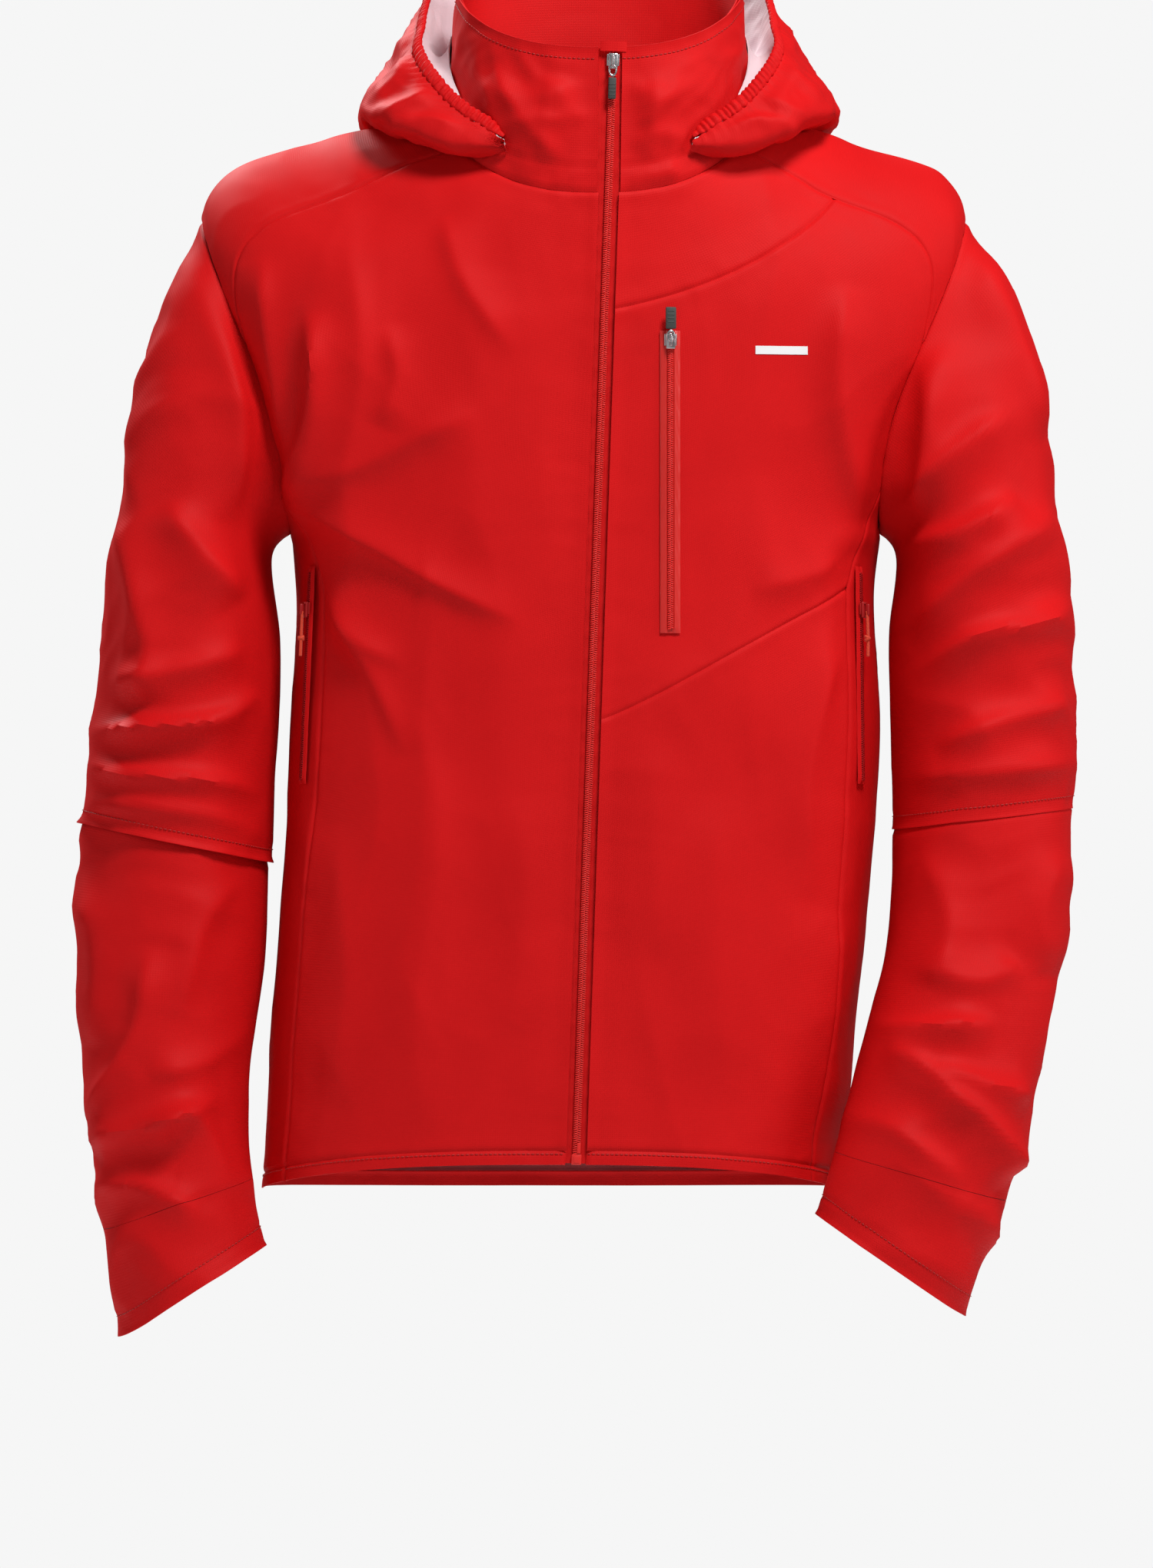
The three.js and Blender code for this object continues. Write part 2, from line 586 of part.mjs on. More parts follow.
const HOOD_ROWS = 9;
function hoodPieces() {
  const angles = (from, to, steps) => span([from], [to], steps).map(([a]) => a);
  const start = HOOD_FRONT_ANGLE;
  const split = HOOD_CENTRE_ANGLE;
  const left = angles(start, split, 10);
  const centre = angles(split, 360 - split, 6);
  const right = angles(360 - split, 360 - start, 10);
  const rows = angles(0, 1, HOOD_ROWS);
  const grid = (list, shares) => list.map((a) => shares.map((t) => hoodSection(a, t)));
  const shell = (name, list) => add(name, slab(trimmed(grid(list, rows), SEAM_GAP), WALL), SHELL);
  shell("hood_left_panel", left);
  shell("hood_centre_panel", centre);
  shell("hood_right_panel", right);
  const inner = chain(left, centre, right).slice(1, -1);
  const lining = grid(inner, rows.slice(1, -1));
  add("hood_lining", slab(lining, WALL, { lift: -WALL - LAYER_GAP }), LINING);
  const ups = inner.map((a) => hoodSection(a, 1).sub(hoodSection(a, 0.96)).normalize());
  const edge = inner.map((a, i) =>
    hoodSection(a, 1).addScaledVector(ups[i], RIM.deep / 2 + 2 * LAYER_GAP),
  );
  add("hood_rim_band", sweep(edge, ups, RIM.thick / 2, RIM.deep / 2, 8), SHELL);
}

// An elliptical tube through points, its long side along the up direction at each of them.
function sweep(points, ups, halfWide, halfHigh, sides) {
  const position = [];
  const index = [];
  const last = points.length - 1;
  points.forEach((p, i) => {
    const forward = points[Math.min(i + 1, last)].clone().sub(points[Math.max(i - 1, 0)]).normalize();
    const across = forward.clone().cross(ups[i]).normalize();
    const up = across.clone().cross(forward);
    for (let k = 0; k < sides; k++) {
      const turn = (2 * Math.PI * k) / sides;
      const q = p.clone().addScaledVector(across, halfWide * Math.cos(turn));
      position.push(...q.addScaledVector(up, halfHigh * Math.sin(turn)));
    }
  });
  const id = (i, k) => i * sides + (k % sides);
  for (let i = 0; i < last; i++)
    for (let k = 0; k < sides; k++) {
      index.push(id(i, k), id(i + 1, k), id(i + 1, k + 1));
      index.push(id(i, k), id(i + 1, k + 1), id(i, k + 1));
    }
  for (let k = 1; k < sides - 1; k++) {
    index.push(id(0, 0), id(0, k), id(0, k + 1));
    index.push(id(last, 0), id(last, k + 1), id(last, k));
  }
  const g = new THREE.BufferGeometry();
  g.setAttribute("position", new THREE.Float32BufferAttribute(position, 3));
  g.setIndex(index);
  return g;
}

// ---------------------------------------------------------------- sleeves
// A point of a sleeve: turn 0 is its outer edge, 90 its front, 180 its inner edge.
function sleeveRing(side, ring) {
  return Array.from({ length: SLEEVE_SIDES }, (_, k) => {
    const turn = (2 * Math.PI * k) / SLEEVE_SIDES;
    const t = (1 + Math.cos(turn)) / 2;
    const x = side * (CHEST_HALF_WIDTH + mix(ring.inner[0], ring.outer[0], t));
    const z = mix(ring.inner[1], ring.outer[1], t);
    return V(x, ring.y - ring.halfDepth * Math.sin(turn), z);
  });
}

const rootRing = (side) =>
  Array.from({ length: SLEEVE_SIDES }, (_, k) => bodyPoint(...armhole(side, k)));

function sleevePieces(side, name) {
  const rings = [rootRing(side), ...SLEEVE_RINGS[name].map((ring) => sleeveRing(side, ring))];
  const ringAt = (t) =>
    rings[0].map((_, k) => {
      const value = (axis) => along(rings.map((ring) => ring[k][axis]), t);
      return V(value("x"), value("y"), value("z"));
    });
  const tube = (from, to, rows, startGap, endGap) => {
    const list = span([from], [to], rows).map(([t]) => ringAt(t));
    const columns = list[0].map((_, k) => list.map((ring) => ring[k]));
    columns.forEach((column) => {
      const n = column.length - 1;
      const head = column[1].clone().sub(column[0]).setLength(startGap);
      const tail = column[n - 1].clone().sub(column[n]).setLength(endGap);
      column[0].add(head);
      column[n].add(tail);
    });
    return slab(side > 0 ? reversed(columns) : columns, WALL, { closed: true });
  };
  const elbow = ELBOW_RING + 1;
  const cuff = CUFF_RING + 1;
  add(name + "_upper_sleeve", tube(0, elbow, 6, SLEEVE_START, ELBOW_GAP / 2), SHELL);
  add(name + "_lower_sleeve", tube(elbow, cuff, 4, ELBOW_GAP / 2, SEAM_GAP / 2), SHELL);
  add(name + "_cuff", tube(cuff, rings.length - 1, 1, SEAM_GAP / 2, 0.01), SHELL);
}

// ---------------------------------------------------------------- zips
// A frame on the surface: Z runs up the zip, Y into the body.
function zipFrame(low, high, outward) {
  const up = high.clone().sub(low).normalize();
  const inward = outward.clone().negate();
  inward.addScaledVector(up, -inward.dot(up)).normalize();
  const across = inward.clone().cross(up);
  const group = new THREE.Group();
  group.applyMatrix4(new THREE.Matrix4().makeBasis(across, inward, up).setPosition(low));
  root.add(group);
  return group;
}

// The slider's body with the bridge that carries the pull. face is the coil's front.
function sliderSolid(face, z) {
  const s = new THREE.Shape();
  const half = SLIDER.length / 2;
  s.moveTo(-SLIDER.bottom, z - half);
  s.lineTo(SLIDER.bottom, z - half);
  s.lineTo(SLIDER.waist, z);
  s.lineTo(SLIDER.top, z + half - SLIDER.corner);
  s.lineTo(SLIDER.top - SLIDER.nose, z + half);
  s.lineTo(SLIDER.nose - SLIDER.top, z + half);
  s.lineTo(-SLIDER.top, z + half - SLIDER.corner);
  s.lineTo(-SLIDER.waist, z);
  const back = face - CLEARANCE;
  const front = back - SLIDER.thick;
  const w = BRIDGE.halfWidth;
  const low = z - BRIDGE.span / 2;
  const high = z + BRIDGE.span / 2;
  const rise = front - BRIDGE.rise;
  return joined(
    plate(s, front, back),
    box(-w, w, rise, front + 0.5, low, low + BRIDGE.bar),
    box(-w, w, rise, front + 0.5, high - BRIDGE.bar, high),
    box(-w, w, rise, rise + BRIDGE.bar, low, high),
  );
}

// Where the pull turns: the middle of the bridge's opening, near its lower end.
function pullPivot(face, z) {
  const front = face - CLEARANCE - SLIDER.thick;
  const depth = BRIDGE.rise - BRIDGE.bar;
  return V(0, front - depth / 2, z - BRIDGE.span / 2 + BRIDGE.bar + depth / 2);
}

// The link passes through the bridge, and the grip is on its far end. way is -1 hanging, +1 up.
function pullPieces(parent, name, pivot, way) {
  const half = LINK.thick / 2;
  const outer = LINK.reach + LINK.arm;
  const shape = new THREE.Shape();
  shape.moveTo(-LINK.halfWidth, -half);
  shape.lineTo(LINK.halfWidth, -half);
  shape.lineTo(LINK.halfWidth, outer);
  shape.lineTo(-LINK.halfWidth, outer);
  const hole = new THREE.Path();
  const inside = LINK.halfWidth - LINK.arm;
  hole.moveTo(-inside, half);
  hole.lineTo(-inside, LINK.reach);
  hole.lineTo(inside, LINK.reach);
  hole.lineTo(inside, half);
  shape.holes.push(hole);
  const group = new THREE.Group();
  group.position.copy(pivot);
  if (way < 0) group.rotation.y = Math.PI;
  parent.add(group);
  add(name + "_link", plate(shape, -half, half), SILVER, group);
  const start = outer + CLEARANCE;
  const grip = roundedBar(GRIP.halfWidth, start, start + GRIP.length, 1.6);
  add(name + "_grip", plate(grip, -GRIP.thick / 2, GRIP.thick / 2), RUBBER, group);
}

function mainZip() {
  const length = ZIP_TOP.distanceTo(ZIP_BOTTOM);
  const frame = zipFrame(ZIP_BOTTOM, ZIP_TOP, V(0, -1, 0));
  const half = CLEARANCE / 2;
  const face = -COIL.proud;
  const back = face + COIL.thick;
  const { stop, box: boxTop } = ZIP_ENDS;
  for (const [name, side] of [["right", -1], ["left", 1]]) {
    const strip = (a, b, y0, y1, z0, z1) =>
      side > 0 ? box(a, b, y0, y1, z0, z1) : box(-b, -a, y0, y1, z0, z1);
    const coilStart = boxTop + CLEARANCE + (side > 0 ? ZIP_ENDS.pin : 0);
    const coilEnd = length - stop - CLEARANCE;
    const tape = strip(half, TAPE.halfWidth, TAPE.depth, TAPE.depth + TAPE.thick, 1, length - 1);
    add(name + "_zip_tape", tape, ZIP_RED, frame);
    const coil = strip(half, COIL.halfWidth, face, back - 0.1, coilStart, coilEnd);
    add(name + "_zip_coil", coil, ZIP_RED, frame);
    const end = strip(half, COIL.halfWidth, face, back - 0.1, length - stop, length);
    add(name + "_zip_top_stop", end, ZIP_RED, frame);
  }
  const { boxHalfWidth, boxProud, pin: pinLength } = ZIP_ENDS;
  const retainer = box(-boxHalfWidth, boxHalfWidth, -boxProud, back, 0, boxTop);
  add("zip_retainer_box", retainer, ZIP_RED, frame);
  const pin = box(half, COIL.halfWidth, face, back - 0.1, boxTop + CLEARANCE, boxTop + pinLength);
  add("zip_pin", pin, ZIP_RED, frame);
  const flapFace = TAPE.depth + TAPE.thick + LAYER_GAP;
  const flap = box(
    -STORM_FLAP.halfWidth, STORM_FLAP.halfWidth, flapFace, flapFace + STORM_FLAP.thick,
    STORM_FLAP.short, length - STORM_FLAP.short,
  );
  add("storm_flap", flap, SHELL, frame);
  const garage = roundedBar(ZIP_GAP / 2 + GARAGE.overEdge, length - GARAGE.below, length + GARAGE.above, 2);
  const garageBack = face - CLEARANCE;
  add("zip_garage", plate(garage, garageBack - GARAGE.thick, garageBack), SHELL, frame);
  const place = length - GARAGE.below - 2 * CLEARANCE - SLIDER.length / 2;
  add("main_slider", sliderSolid(face, place), SILVER, frame);
  pullPieces(frame, "main_pull", pullPivot(face, place), -1);
}

// A small zip welded over a slit in a panel: a tape, a coil and a slider.
function smallZip(name, low, high, outward, halfWidth, thick, sliderPlace) {
  const frame = zipFrame(low, high, outward);
  const length = high.distanceTo(low);
  add(name + "_tape", plate(roundedBar(halfWidth, 0, length, 2), -thick, 0), ZIP_RED, frame);
  const back = -thick - 0.3;
  const face = back - SMALL_COIL.thick;
  const coil = box(-SMALL_COIL.halfWidth, SMALL_COIL.halfWidth, face, back, 3, length - 3);
  add(name + "_coil", coil, ZIP_RED, frame);
  const place = length * sliderPlace;
  add(name + "_slider", sliderSolid(face, place), SILVER, frame);
  return { frame, pivot: pullPivot(face, place) };
}

function surfaceAtX(x, z) {
  let level = 2.5;
  for (let i = 0; i < 30; i++) level = levelAt(angleAt(x, level), z);
  return bodyPoint(angleAt(x, level), level);
}

function chestZip() {
  const lift = V(0.2, -0.9, 0);
  const low = surfaceAtX(CHEST_ZIP.x, CHEST_ZIP.zBottom).add(lift);
  const high = surfaceAtX(CHEST_ZIP.x, CHEST_ZIP.zTop).add(lift);
  const out = V(0.09, -1, 0).normalize();
  const made = smallZip("chest_zip", low, high, out, CHEST_ZIP.halfWidth, CHEST_ZIP.thick, 0.965);
  pullPieces(made.frame, "chest_pull", made.pivot, 1);
}

// The vent zips run down both side seams; each slider has a knotted cord in place of a pull.
function ventZip(side, name) {
  const angle = side * VENT_ZIP.angle;
  const low = bodyPoint(angle, levelAt(angle, VENT_ZIP.zBottom));
  const high = bodyPoint(angle, levelAt(angle, VENT_ZIP.zTop));
  const middle = (levelAt(angle, VENT_ZIP.zBottom) + levelAt(angle, VENT_ZIP.zTop)) / 2;
  const a = bodyPoint(angle - 2, middle);
  const b = bodyPoint(angle + 2, middle);
  const out = b.clone().sub(a).cross(V(0, 0, 1)).normalize();
  low.addScaledVector(out, VENT_ZIP.lift);
  high.addScaledVector(out, VENT_ZIP.lift);
  const made = smallZip(
    name + "_vent_zip", low, high, out, VENT_ZIP.halfWidth, VENT_ZIP.thick, 0.8,
  );
  const group = new THREE.Group();
  group.position.copy(made.pivot);
  made.frame.add(group);
  const r = VENT_CORD.radius;
  const tube = (z0, z1) => new THREE.CylinderGeometry(r, r, z1 - z0, 8).rotateX(Math.PI / 2)
    .translate(0, 0, (z0 + z1) / 2);
  const start = -Math.SQRT2 * ((BRIDGE.rise - BRIDGE.bar) / 2 + BRIDGE.bar) - 0.05;
  add(name + "_vent_cord", tube(-VENT_CORD.drop, start), CORD_RED, group);
  const knotTop = -VENT_CORD.drop - CLEARANCE;
  const knot = new THREE.SphereGeometry(KNOT.radius, 10, 6);
  knot.scale(1, KNOT.height / (2 * KNOT.radius), 1).rotateX(Math.PI / 2);
  knot.translate(0, 0, knotTop - KNOT.height / 2);
  add(name + "_vent_cord_knot", knot, CORD_RED, group);
  const tailTop = knotTop - KNOT.height - CLEARANCE;
  add(name + "_vent_cord_tail", tube(tailTop - VENT_CORD.tail, tailTop), CORD_RED, group);
}

// ---------------------------------------------------------------- trim
function trim() {
  const loop = HANG_LOOP;
  const liningFace = (x) => {
    const { centre, halfWidth } = BODY_RINGS[0];
    const angle = 180 - THREE.MathUtils.radToDeg(Math.asin((x - centre) / halfWidth));
    return bodyPoint(angle, 0).y - WALL - LINING_DEPTH;
  };
  const arc = span([0], [180], 12).map(([a]) => {
    const x = -loop.halfWidth * Math.cos(rad(a));
    const end = liningFace(x) - CLEARANCE - loop.radius;
    const rise = Math.sin(rad(a));
    return V(x, mix(end, 0, rise), loop.radius - loop.drop * (1 - rise));
  });
  add("hang_loop", sweep(arc, arc.map(() => V(0, 1, 0)), loop.radius, loop.radius, 8), SHELL);

  const bag = POCKET_BAG;
  const column = (x) =>
    span([bag.zBottom], [bag.zTop], 6).map(([z]) => surfaceAtX(x, z));
  const sheet = span([bag.inner], [bag.outer], 7).map(([x]) => column(x));
  add("chest_pocket_bag", slab(oriented(sheet), bag.thick, { lift: -LINING_DEPTH }), LINING);

  const mark = CHEST_MARK;
  const face = [-1, 0, 1].map((i) =>
    [-1, 1].map((j) => surfaceAtX(mark.x + i * mark.halfWidth, mark.z + j * mark.halfHeight)),
  );
  add("chest_mark", slab(oriented(face), mark.thick, { lift: mark.thick + mark.rest }), WHITE);

  const label = NECK_LABEL;
  const cells = [-1, 0, 1].map((i) =>
    [label.low, label.high].map((t) => collarPoint(180 + i * label.halfAngle, t)),
  );
  const depth = -2 * WALL - 2 * LAYER_GAP - CLEARANCE;
  add("neck_label", slab(oriented(cells), label.thick, { lift: depth }), WHITE);
}

rightFront();
leftFront();
for (const [side, name] of [[-1, "right"], [1, "left"]]) {
  sidePieces(side, name);
  sleevePieces(side, name);
  ventZip(side, name);
}
backPieces();
hemBands();
collarPieces();
hoodPieces();
mainZip();
chestZip();
trim();

export default root;
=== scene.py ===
import json
import math

import bpy
import numpy as np
from mathutils import Matrix, Vector

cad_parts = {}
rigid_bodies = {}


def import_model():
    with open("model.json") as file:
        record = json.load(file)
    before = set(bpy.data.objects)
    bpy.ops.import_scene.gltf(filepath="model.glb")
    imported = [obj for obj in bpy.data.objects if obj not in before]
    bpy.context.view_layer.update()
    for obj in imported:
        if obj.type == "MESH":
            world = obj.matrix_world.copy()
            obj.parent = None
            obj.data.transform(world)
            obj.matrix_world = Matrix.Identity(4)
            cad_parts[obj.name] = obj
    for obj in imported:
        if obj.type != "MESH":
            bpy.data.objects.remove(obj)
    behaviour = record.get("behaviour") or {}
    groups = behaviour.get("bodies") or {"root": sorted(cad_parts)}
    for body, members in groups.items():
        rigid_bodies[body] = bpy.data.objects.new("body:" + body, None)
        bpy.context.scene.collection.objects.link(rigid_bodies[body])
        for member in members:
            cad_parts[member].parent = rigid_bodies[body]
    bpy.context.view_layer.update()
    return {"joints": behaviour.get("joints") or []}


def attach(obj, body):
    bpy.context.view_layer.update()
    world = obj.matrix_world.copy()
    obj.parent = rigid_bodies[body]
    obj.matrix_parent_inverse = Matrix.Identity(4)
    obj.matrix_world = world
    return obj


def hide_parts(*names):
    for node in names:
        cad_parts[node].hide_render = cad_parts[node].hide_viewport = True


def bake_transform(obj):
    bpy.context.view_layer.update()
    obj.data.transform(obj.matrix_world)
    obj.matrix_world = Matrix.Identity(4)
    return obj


# %% [markdown]
# # A red hardshell jacket
# A hardshell is cut from stiff three-layer fabric, so it hangs in flat facets and crisp folds. The packed
# frame gives every body, joint and size. This file keeps that frame where it is, and sews new cloth round
# it, panel by panel, with the zips and pulls that move.

# %% Load the frame
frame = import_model()
bpy.ops.object.select_all(action="DESELECT")
joints = {j["name"]: j for j in frame["joints"]}
MM = 0.001

# %% [markdown]
# ## Camera
# The jacket is seen square from the front, from far enough away that the chest and the hood keep their
# true proportions. A long lens at six metres does that.

# %% Camera
VIEW_CENTRE = Vector((-0.005, -0.07, -0.476))
VIEW_HEIGHT = 1.091
LENS = 200
SENSOR = 36
camera = bpy.data.objects.new("camera", bpy.data.cameras.new("camera"))
bpy.context.scene.collection.objects.link(camera)
camera.data.lens = LENS
camera.data.sensor_width = SENSOR
camera.location = VIEW_CENTRE - Vector((0, LENS / SENSOR * VIEW_HEIGHT, 0))
camera.rotation_euler = (math.pi / 2, 0, 0)
camera.data.dof.use_dof = False
bpy.context.scene.camera = camera
print("camera at", tuple(round(v, 3) for v in camera.location))

# %% [markdown]
# ## Colours and a node helper
# Every colour is chosen as an sRGB hex value and turned to the linear value that a shader wants. One small
# function adds a shader node, sets its values and links what feeds it, so each finish below reads as a list.
# The threshold and the slopes are those of the sRGB curve.


# %% Helpers for materials
def linear(hex_colour):
    parts = [int(hex_colour[i : i + 2], 16) / 255 for i in (1, 3, 5)]
    return [c / 12.92 if c <= 0.04045 else ((c + 0.055) / 1.055) ** 2.4 for c in parts] + [1]


def node(tree, kind, settings=None, values=None, links=None):
    made = tree.nodes.new(kind)
    for name, value in (settings or {}).items():
        setattr(made, name, value)
    for name, value in (values or {}).items():
        made.inputs[name].default_value = value
    for name, output in (links or {}).items():
        tree.links.new(output, made.inputs[name])
    return made


def finish(name, **values):
    """A material whose shader has these values, and its tree."""
    material = bpy.data.materials.new(name)
    material.use_nodes = True
    shader = material.node_tree.nodes["Principled BSDF"]
    for key, value in values.items():
        shader.inputs[key.replace("_", " ").title().replace("Ior", "IOR")].default_value = value
    return material, material.node_tree, shader


# %% [markdown]
# ## Woven face fabric
# The face is a plain-woven 40-denier nylon, piece-dyed red and finished with a water repellent, so it is
# matte and hardly shines. Its real threads are about 0.3 mm apart, which is too fine to show, so the weave is
# drawn 1.6 mm apart. Broad, faint changes of colour and roughness stand for handling. The cloth's inside is a
# knitted backing in a duller red, the hood is lined with pale taffeta, and the zip tapes and the label are
# woven more tightly.

# %% Shell fabric
WAVE_PERIOD = 0.314  # a wave texture of scale 1 repeats at this distance
HANDLED = {"Scale": 14, "Detail": 6, "Roughness": 0.6}  # patches about 70 mm across
ROUGHNESS_SPREAD = 0.06
THREAD_HEIGHT = 0.2 * MM


def woven(name, base, shade, thread_mm, bump, coordinates="UV", **values):
    """Two crossed sets of threads over a slow change between two close colours."""
    material, tree, shader = finish(name, **values)
    place = node(tree, "ShaderNodeTexCoord").outputs[coordinates]
    thread = WAVE_PERIOD / (thread_mm * MM)
    bands = [
        node(tree, "ShaderNodeTexWave", {"bands_direction": axis},
             {"Scale": thread, "Distortion": 0.4, "Detail": 1.0, "Detail Scale": 3.0}, {"Vector": place})
        for axis in ("X", "Y")
    ]
    cloth = node(tree, "ShaderNodeMath", {"operation": "MULTIPLY"},
                 links={0: bands[0].outputs["Fac"], 1: bands[1].outputs["Fac"]})
    handled = node(tree, "ShaderNodeTexNoise", values=HANDLED,
                   links={"Vector": node(tree, "ShaderNodeTexCoord").outputs["Object"]})
    tones = node(tree, "ShaderNodeMix", {"data_type": "RGBA"},
                 {"A": linear(shade), "B": linear(base)}, {"Factor": handled.outputs["Fac"]})
    rough = node(tree, "ShaderNodeMapRange", values={"To Min": values["roughness"] - ROUGHNESS_SPREAD,
                 "To Max": values["roughness"] + ROUGHNESS_SPREAD}, links={"Value": handled.outputs["Fac"]})
    relief = node(tree, "ShaderNodeBump", values={"Strength": bump, "Distance": THREAD_HEIGHT},
                  links={"Height": cloth.outputs[0]})
    tree.links.new(tones.outputs["Result"], shader.inputs["Base Color"])
    tree.links.new(rough.outputs["Result"], shader.inputs["Roughness"])
    tree.links.new(relief.outputs["Normal"], shader.inputs["Normal"])
    return material


shell_nylon = woven("shell_nylon", "#dc1618", "#c91013", 1.6, 0.35, roughness=0.6, specular_ior_level=0.1)
backing_tricot = woven("backing_tricot", "#a83a3e", "#983034", 2.0, 0.5, roughness=0.75, sheen_weight=0.2)
hood_taffeta = woven("hood_taffeta", "#ead9de", "#dcc6cc", 1.2, 0.3, roughness=0.55, sheen_weight=0.25)
zip_tape_weave = woven("zip_tape_weave", "#dd1a1b", "#cb1416", 1.0, 0.9, "Object", roughness=0.65,
                       specular_ior_level=0.1)
label_satin = woven("label_satin", "#efefec", "#e4e4e1", 0.8, 0.2, "Object", roughness=0.5)
print("woven finishes:", len(bpy.data.materials))

# %% [markdown]
# ## Hard finishes
# Zip coils are nylon monofilament, dyed with the tape. Sliders are die-cast zinc with a dull nickel
# plating, or red lacquer at the vents. Grips are moulded rubber, the vents' pulls are braided polyester cord,
# and the hems are sewn with polyester thread. The chest mark is a bar of heat-pressed white film. Each one's
# grain is only just coarse enough to see from close by.


# %% Hard finishes
GRAIN_HEIGHT = 0.1 * MM


def grained(name, colour, grain_mm, bump, **values):
    """A moulded, cast or spun surface with a fine grain."""
    material, tree, shader = finish(name, base_color=linear(colour), **values)
    place = node(tree, "ShaderNodeTexCoord").outputs["Object"]
    grain = node(tree, "ShaderNodeTexNoise", values={"Scale": 1 / (grain_mm * MM), "Detail": 3},
                 links={"Vector": place})
    relief = node(tree, "ShaderNodeBump", values={"Strength": bump, "Distance": GRAIN_HEIGHT},
                  links={"Height": grain.outputs["Fac"]})
    rough = node(tree, "ShaderNodeMapRange", values={"To Min": values["roughness"] * 0.85,
                 "To Max": values["roughness"] * 1.15}, links={"Value": grain.outputs["Fac"]})
    tree.links.new(relief.outputs["Normal"], shader.inputs["Normal"])
    tree.links.new(rough.outputs["Result"], shader.inputs["Roughness"])
    return material


coil_nylon = grained("coil_nylon", "#e62a26", 0.8, 0.2, roughness=0.45, specular_ior_level=0.3)
plated_zinc = grained("plated_zinc", "#c3c4c6", 0.5, 0.15, metallic=1.0, roughness=0.32)
moulded_rubber = grained("moulded_rubber", "#3a3d3a", 0.6, 0.4, roughness=0.62)
cord_polyester = grained("cord_polyester", "#d8401f", 0.5, 0.6, roughness=0.7, sheen_weight=0.2)
# The vents' coil is the coil red darkened: painted shade for the shadow that falls on the vents between the
# sleeves and the body.
vent_coil_painted_shade = grained("vent_coil_painted_shade", "#a81216", 0.8, 0.2, roughness=0.5, specular_ior_level=0.2)
lacquered_zinc = grained("lacquered_zinc", "#a81416", 0.5, 0.15, roughness=0.45)
sewing_thread = grained("sewing_thread", "#b51a18", 0.3, 0.3, roughness=0.5)
heat_film = grained("heat_film", "#f3f3f3", 1.0, 0.1, roughness=0.45)
print("finishes:", len(bpy.data.materials))

# %% [markdown]
# ## Where the zips run
# Each slider's joint says which way its zip runs, and each pull's hinge says which way lies across it. The
# two make a frame at the hinge: X across the zip, Y into the body, Z up. All zip parts are placed in it.

# %% Zip frames
ZIP_ENDS = {"main": (-754.3, 11.7), "chest": (-198.3, 9.1), "right_vent": (-118.4, 31.9),
            "left_vent": (-118.4, 31.9)}  # mm below and above the hinge


def zip_frame(slide, swing, turn=-1):
    up = -Vector(joints[slide]["axis"]).normalized()
    across = turn * Vector(joints[swing]["axis"])
    inwards = up.cross(across).normalized()
    turned = Matrix((inwards.cross(up), inwards, up)).transposed().to_4x4()
    return Matrix.Translation(joints[swing]["pos_m"]) @ turned


ZIPS = {
    "main": zip_frame("main_zip_slide", "main_pull_swing"),
    "chest": zip_frame("chest_zip_slide", "chest_pull_swing", 1),
    "right_vent": zip_frame("right_vent_slide", "right_vent_pull_swing"),
    "left_vent": zip_frame("left_vent_slide", "left_vent_pull_swing"),
}
print("zips:", list(ZIPS))

# %% [markdown]
# ## Making and handing over a piece
# Cloth and cord are made from lists of points and faces. Each finished piece is then attached to the body it
# moves with, or baked in place where it crosses a joint, and the CAD nodes it stands for are hidden.


# %% Helpers for pieces
def ring_faces(rings, sides):
    """The faces of a tube whose rings follow one another in the list of vertices."""
    faces = []
    for low in range(0, (rings - 1) * sides, sides):
        high = low + sides
        faces += [(low + k, high + k, high + (k + 1) % sides, low + (k + 1) % sides) for k in range(sides)]
    last = (rings - 1) * sides
    return faces + [tuple(range(sides)), tuple(last + k for k in reversed(range(sides)))]


def mesh_piece(name, vertices, faces, *materials):
    mesh = bpy.data.meshes.new(name)
    mesh.from_pydata([tuple(v) for v in vertices], [], faces)
    for material in materials:
        mesh.materials.append(material)
    mesh.polygons.foreach_set("use_smooth", [True] * len(mesh.polygons))
    piece = bpy.data.objects.new(name, mesh)
    bpy.context.scene.collection.objects.link(piece)
    return piece


def hand_over(piece, body, slot, *nodes):
    """Body is one name, to which the piece is attached; given two names and two points, the piece is only
    baked in place.
    """
    if isinstance(body, str):
        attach(piece, body)
    else:
        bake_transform(piece)
    if nodes:
        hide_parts(*nodes)


# %% [markdown]
# ## Cord pulls of the vents
# Each vent slider has a short loop of braided cord, drawn here as one run that hangs from the slider, goes
# through its own knot and ends in a cut tail. The braid shows as small raised strands that cross.

# %% Vent cords
CORD = {"radius": 1.1, "top": 0.6, "bottom": -30.4, "sway": 0.5, "strand": 2.4, "sides": 16}  # mm
KNOT = {"height": -17.9, "turn": 1.35, "bights": ((0.45, 0.5), (-0.5, -0.6))}  # mm; a bight's tilt and shift


